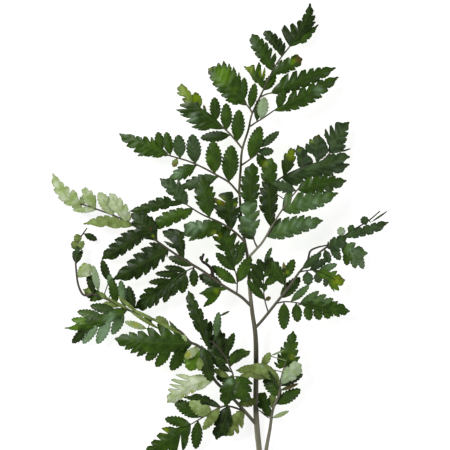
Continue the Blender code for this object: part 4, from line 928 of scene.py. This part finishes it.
def add_blade(piece, outline, veins, axis, height_at, entry, rng):
    """A thin closed blade with grooved veins, waves along its margin and its own upper face."""
    # A look gives which face is up, the tone, and the amount of painted sheen.
    turned, tone, painted_sheen = LOOKS[entry["look"]]
    tone += rng.uniform(-TONE_SPREAD, TONE_SPREAD)
    phase = rng.uniform(0, 6.28)
    rim = [(i, (i + 1) % len(outline)) for i in range(len(outline))]
    points = [Vector(tuple(p)) for p in (*outline, *grid_inside(outline))]
    flat, _, triangles = delaunay_2d_cdt(points, rim, [], 1, WELD)[:3]
    flat = np.array([tuple(p) for p in flat])
    count = len(flat)

    off, along, side = measure(flat, axis)
    vein = np.exp(-(off / MIDRIB_HALF) ** 2)
    groove = MIDRIB_GROOVE * vein
    stripe = np.zeros(count)
    for line in veins:
        gap = measure(flat, line)[0]
        near = np.exp(-(gap / VEIN_HALF) ** 2)
        stripe = np.maximum(stripe, np.exp(-(gap / STRIPE_HALF) ** 2))
        groove = np.maximum(groove, VEIN_GROOVE * near)
        vein = np.maximum(vein, VEIN_LIGHT * near)
    waves = sum(math.dist(a, b) for a, b in zip(axis, axis[1:])) / WAVE_LENGTH
    reach = np.clip(off / WAVE_FROM, 0, 1) ** 2
    wave = WAVE * reach * np.sin(2 * math.pi * along * waves + phase + side)
    middle = np.maximum(height_at(flat) + wave - groove - QUILT * stripe, BLADE_THICKNESS / 2)
    verts = [spot(x, y, z + half) for half in (BLADE_THICKNESS / 2, -BLADE_THICKNESS / 2)
             for (x, y), z in zip(flat, middle)]

    faces = []
    slots = []
    edges = set()
    over, under = (UNDER, UPPER) if turned else (UPPER, UNDER)
    for tri in triangles:
        a, b, c = (flat[i] for i in tri)
        if (b[0] - a[0]) * (c[1] - a[1]) - (b[1] - a[1]) * (c[0] - a[0]) > 0:
            tri = reversed(tri)
        tri = tuple(tri)
        faces += [tri, tuple(i + count for i in reversed(tri))]
        slots += [over, under]
        edges.update(zip(tri, tri[1:] + tri[:1]))
    for start, end in sorted(edges):
        if (end, start) not in edges:
            faces.append((end, start, start + count, end + count))
            slots.append(over)

    edge = np.exp(-(measure(flat, [*outline, outline[0]])[0] / RIM_HALF) ** 2)
    # Painted sheen: a pale bluish highlight painted into the colour, in patches and strongest along the side
    # veins.
    marks = {"tone": np.full(count, tone), "vein": vein, "rim": edge, "painted_sheen": np.full(count, painted_sheen)}
    for kind, x, y, radius in entry["marks"]:
        gap = np.hypot(flat[:, 0] - x, flat[:, 1] - y)
        mark = np.clip(MARK_EDGE - gap / radius, 0, 1)
        marks[kind] = np.maximum(marks.get(kind, np.zeros(count)), mark)
    marks["painted_sheen"] = marks["painted_sheen"] * (PAINTED_SHEEN_BETWEEN + (1 - PAINTED_SHEEN_BETWEEN) * stripe)
    piece.add(verts, faces, slots, {kind: np.tile(values, 2) for kind, values in marks.items()})


def add_leaf(piece, entry, stem, sprig, rng):
    """A leaf on the points of its stem, with its fingers, at the height of its solid."""
    axis = [Vector(p) for p in entry["axis"]]
    gap, share, _ = measure(axis[:1], stem)
    foot = place_on(stem, share)[0]
    start = Vector(foot[:2])
    outline, veins = outline_of(entry, axis, start, gap[0])
    if sprig or gap[0] <= NECK_MIN:
        axis[0] = start
    length = sum(math.dist(a, b) for a, b in zip(axis, axis[1:]))
    lift = -LEAF_DROOP * length if entry["lift"] is None else entry["lift"]

    def height_at(points):
        if sprig:
            off, along, _ = measure(points, stem)
            return place_on(stem, along)[:, 2] + SPRIG_RISE * off - SPRIG_DROOP * off * off
        off, along, _ = measure(points, axis)
        arch = LEAF_ARCH * length * 4 * along * (1 - along)
        return foot[2] + lift * along + arch - LEAF_FOLD * off

    add_blade(piece, outline, veins, axis, height_at, entry, rng)
    for finger in entry["fingers"]:
        run = [Vector(p) for p in finger["axis"]]
        outline, veins = outline_of(finger, run, run[0], 0.0)
        add_blade(piece, outline, veins, run, height_at, finger, rng)


def add_tube(piece, points, sizes, tones, fineness, cut=False, woody=1.0):
    """A stalk through its points, with a groove along its upper side and green beyond its woody share."""
    sides, step = fineness
    centres = smooth_path(points, step)
    last = len(centres) - 1
    toned = np.interp(np.linspace(0, 1, last + 1), np.linspace(0, 1, len(tones)), tones)
    verts = []
    for i, centre in enumerate(centres):
        ahead = Vector(centres[min(i + 1, last)] - centres[max(i - 1, 0)]).normalized()
        across = ahead.cross(Vector((0, 0, 1))).normalized()
        up = across.cross(ahead)
        radius = float(np.interp(i / last, np.linspace(0, 1, len(sizes)), sizes)) / 2
        for k in range(sides):
            turn = 2 * math.pi * (k + 0.5) / sides - math.pi / 2
            dip = STALK_GROOVE * math.exp(-((turn - math.pi / 2) / STALK_GROOVE_HALF) ** 2)
            size = radius * (1 - dip + STALK_RIBS * math.cos(5 * turn))
            place = Vector(centre) + size * (math.cos(turn) * across + math.sin(turn) * up)
            verts.append(spot(place.x, place.y, max(place.z, 0.0)))
    faces = []
    slots = []
    for i in range(last):
        for k in range(sides):
            a = i * sides + k
            b = i * sides + (k + 1) % sides
            faces.append((a, b, b + sides, a + sides))
            slots.append(STALK if i < woody * last else UPPER)
    faces.append(tuple(reversed(range(sides))))
    faces.append(tuple(last * sides + k for k in range(sides)))
    slots += [CUT if cut else STALK, slots[-1]]
    piece.add(verts, faces, slots, {"tone": np.repeat(toned, sides)})


# Materials

def rgb(red, green, blue):
    """A colour given as it shows on a screen, from 0 to 255."""
    def linear(value):
        value /= 255
        return value / 12.92 if value <= 0.04045 else ((value + 0.055) / 1.055) ** 2.4
    return (linear(red), linear(green), linear(blue), 1.0)


class Graph:
    """A material's nodes, with short ways to make and join them."""

    def __init__(self, name):
        self.material = bpy.data.materials.new(name)
        self.material.use_nodes = True
        self.tree = self.material.node_tree
        self.shader = self.tree.nodes["Principled BSDF"].inputs
        self.shader["Specular IOR Level"].default_value = 0.28
        self.coords = self.node("TexCoord", "Object", {})

    def set(self, socket, value):
        """Links a socket to an output, or gives it a number or a colour."""
        if isinstance(value, bpy.types.NodeSocket):
            self.tree.links.new(value, socket)
        else:
            socket.default_value = value

    def node(self, kind, output, inputs, **settings):
        """The output of a new node with these settings and inputs."""
        made = self.tree.nodes.new("ShaderNode" + kind)
        for name, value in settings.items():
            setattr(made, name, value)
        for name, value in inputs.items():
            self.set(made.inputs[name], value)
        return made.outputs[output]

    def noise(self, scale):
        return self.node("TexNoise", "Fac", {"Vector": self.coords, "Scale": scale, "Detail": 3.0})

    def cells(self, scale):
        inputs = {"Vector": self.coords, "Scale": scale}
        return self.node("TexVoronoi", "Distance", inputs, feature="DISTANCE_TO_EDGE")

    def math(self, operation, *values):
        return self.node("Math", 0, dict(enumerate(values)), operation=operation)

    def read(self, name, share=1.0):
        """A mark of the leaf, times a share of it."""
        return self.math("MULTIPLY", self.node("Attribute", "Fac", {}, attribute_name=name), share)

    def mix(self, share, first, second):
        return self.node("Mix", "Result", {"Factor": share, "A": first, "B": second}, data_type="RGBA")

    def patch(self, scale, gain, offset, most):
        """Noise that is held between 0 and 1, then scaled."""
        value = self.math("MULTIPLY_ADD", self.noise(scale), gain, offset)
        return self.math("MULTIPLY", self.node("Clamp", "Result", {"Value": value}), most)

    def toned(self, noise, spread, low, middle, high):
        """A colour between three, by the tone and a noise about it. The middle one starts with its place."""
        tone = self.math("SUBTRACT", self.read("tone"), spread / 2)
        share = self.math("MULTIPLY_ADD", noise, spread, tone)
        colour = self.node("ValToRGB", "Color", {"Fac": share})
        elements = colour.node.color_ramp.elements
        elements.new(0.5)
        for element, place, tint in zip(elements, (0.0, middle[0], 1.0), (low, middle[1:], high)):
            element.position = place
            element.color = rgb(*tint)
        return colour

    def dress(self, colour, grain, roughness, relief, strength, depth):
        """Gives the shader its colour, its roughness with some grain, and its relief."""
        normal = self.node("Bump", "Normal", {"Height": relief, "Strength": strength, "Distance": depth})
        rough = self.math("MULTIPLY_ADD", self.noise(grain), 0.2, roughness)
        for name, value in (("Base Color", colour), ("Roughness", rough), ("Normal", normal)):
            self.set(self.shader[name], value)
        return self.material


def leaf_material(name, scale, spread, low, middle, high, tints, net_share, net_tint, roughness, strength):
    """A face of a leaf, mottled with age, with its painted sheen (a pale bluish highlight), spots, veins and
    rim, and a fine net of cells.

    Low, middle and high are its colours by tone, the middle one with its place between the others.
    """
    g = Graph(name)
    colour = g.toned(g.noise(scale), spread, low, middle, high)
    for mark, share, tint in tints:
        share = g.patch(*share) if isinstance(share, tuple) else share
        colour = g.mix(g.read(mark, share), colour, rgb(*tint))
    net = g.math("MINIMUM", g.math("MULTIPLY", g.cells(620), 6.0), 1.0)
    colour = g.mix(g.math("MULTIPLY", g.math("SUBTRACT", 1.0, net), net_share), colour, rgb(*net_tint))
    return g.dress(colour, 140, roughness, g.math("ADD", net, g.noise(1500)), strength, 0.00012)


def upper_material():
    """The upper face: glossy and dark, with paler veins."""
    return leaf_material("blade_upper", scale=90, spread=0.8, low=(18, 32, 4), middle=(0.45, 46, 74, 8),
                         high=(92, 132, 12), tints=UPPER_TINTS, net_share=0.12, net_tint=(110, 140, 70),
                         roughness=0.32, strength=0.35)


def under_material():
    """The underside: pale, matt, with its veins a little darker."""
    return leaf_material("blade_under", scale=130, spread=1.2, low=(100, 112, 46),
                         middle=(0.5, 166, 190, 112), high=(228, 238, 206), tints=UNDER_TINTS,
                         net_share=0.2, net_tint=(130, 155, 85), roughness=0.5, strength=0.4)


def stalk_material():
    """Stalks: from grey-brown, streaked wood at the stipe to dark purple-brown on the thin ones."""
    g = Graph("stalk")
    along = g.node("Mapping", "Vector", {"Vector": g.coords, "Scale": (900, 60, 900)})
    streaks = g.node("TexNoise", "Fac", {"Vector": along, "Scale": 1.0})
    colour = g.toned(streaks, 0.6, (46, 38, 32), (0.5, 92, 87, 72), (152, 149, 126))
    return g.dress(colour, 300, 0.42, streaks, 0.4, 0.0002)


def cut_material():
    """The cut end of the stipe: pale pith with darker strands."""
    g = Graph("cut_end")
    strands = g.math("LESS_THAN", g.cells(900), 0.12)
    return g.dress(g.mix(strands, rgb(176, 178, 130), rgb(96, 84, 56)), 400, 0.6, g.noise(1200), 0.4, 0.0002)


def floor_material():
    """A plain pale sheet that glows a little, so that shadows on it stay faint."""
    g = Graph("floor")
    g.set(g.shader["Base Color"], g.mix(g.noise(40), (0.36, 0.36, 0.36, 1), (0.38, 0.38, 0.38, 1)))
    g.shader["Roughness"].default_value = 0.9
    g.shader["Specular IOR Level"].default_value = 0.1
    g.shader["Emission Color"].default_value = (1, 1, 1, 1)
    g.shader["Emission Strength"].default_value = 0.85
    return g.material


# Building

def build_rachis(materials):
    """The stipe and rachis, from the cut end to the tip."""
    piece = Piece("rachis")
    add_tube(piece, RACHIS["points"], RACHIS["sizes"], RACHIS["tones"], RACHIS_MESH, cut=True)
    piece.finish(materials)


def build_pinna(name, stem, leaves, materials):
    """A pinna or a sprig as one object: its stalk, unless it grows on the rachis, and its leaves."""
    piece = Piece("pinna_" + name)
    rng = random.Random(piece.name)
    points = stem["points"]
    sprig = "woody" in stem
    if sprig:
        parent = PINNAE[name.rsplit("_", 1)[0]][0]["points"]
        share = measure(points[:1], parent)[1]
        points = [place_on(parent, share)[0], *points[1:]]
        add_tube(piece, points, RIB_SIZES, RIB_TONES, RIB_MESH, woody=stem["woody"])
    elif stem is not RACHIS:
        sizes = [size * flare for size, flare in zip(stem["sizes"], STALK_FLARE)]
        add_tube(piece, points, sizes, stem["tones"], STALK_MESH)
    for entry in leaves:
        add_leaf(piece, entry, points, sprig, rng)
    piece.finish(materials)


def build_set():
    """The floor, the lights and the camera."""
    scene = bpy.context.scene
    bpy.ops.mesh.primitive_plane_add(size=6.0, location=(0, 0, -0.0002))
    floor = bpy.context.object
    floor.name = "floor"
    floor.data.materials.append(floor_material())

    scene.world = bpy.data.worlds.new("studio")
    scene.world.use_nodes = True
    sky = scene.world.node_tree.nodes["Background"].inputs
    sky["Color"].default_value = (0.9, 0.95, 1.0, 1)
    sky["Strength"].default_value = 0.08
    for name, place, size, energy in (
            ("key", (-1.8, 1.2, 1.5), 1.2, 60),
            ("fill", (2.0, -0.9, 1.3), 1.4, 26)):
        lamp = bpy.data.lights.new(name, "AREA")
        lamp.size = size
        lamp.energy = energy
        obj = bpy.data.objects.new(name, lamp)
        obj.location = place
        obj.rotation_euler = (-Vector(place)).to_track_quat("-Z", "Y").to_euler()
        scene.collection.objects.link(obj)

    camera = bpy.data.cameras.new("camera")
    camera.sensor_width = SENSOR
    camera.lens = SENSOR * (CAMERA_HEIGHT - LEAF_LEVEL) / VIEW_SIDE
    camera.clip_end = 100
    obj = bpy.data.objects.new("camera", camera)
    obj.location = spot(VIEW_SIDE / 2, VIEW_SIDE / 2, CAMERA_HEIGHT)
    scene.collection.objects.link(obj)
    scene.camera = obj
    scene.view_settings.view_transform = "Standard"


materials = [upper_material(), under_material(), stalk_material(), cut_material()]
build_rachis(materials)
for pinna_name, (stem, *leaves) in PINNAE.items():
    build_pinna(pinna_name, stem, leaves, materials)
build_set()
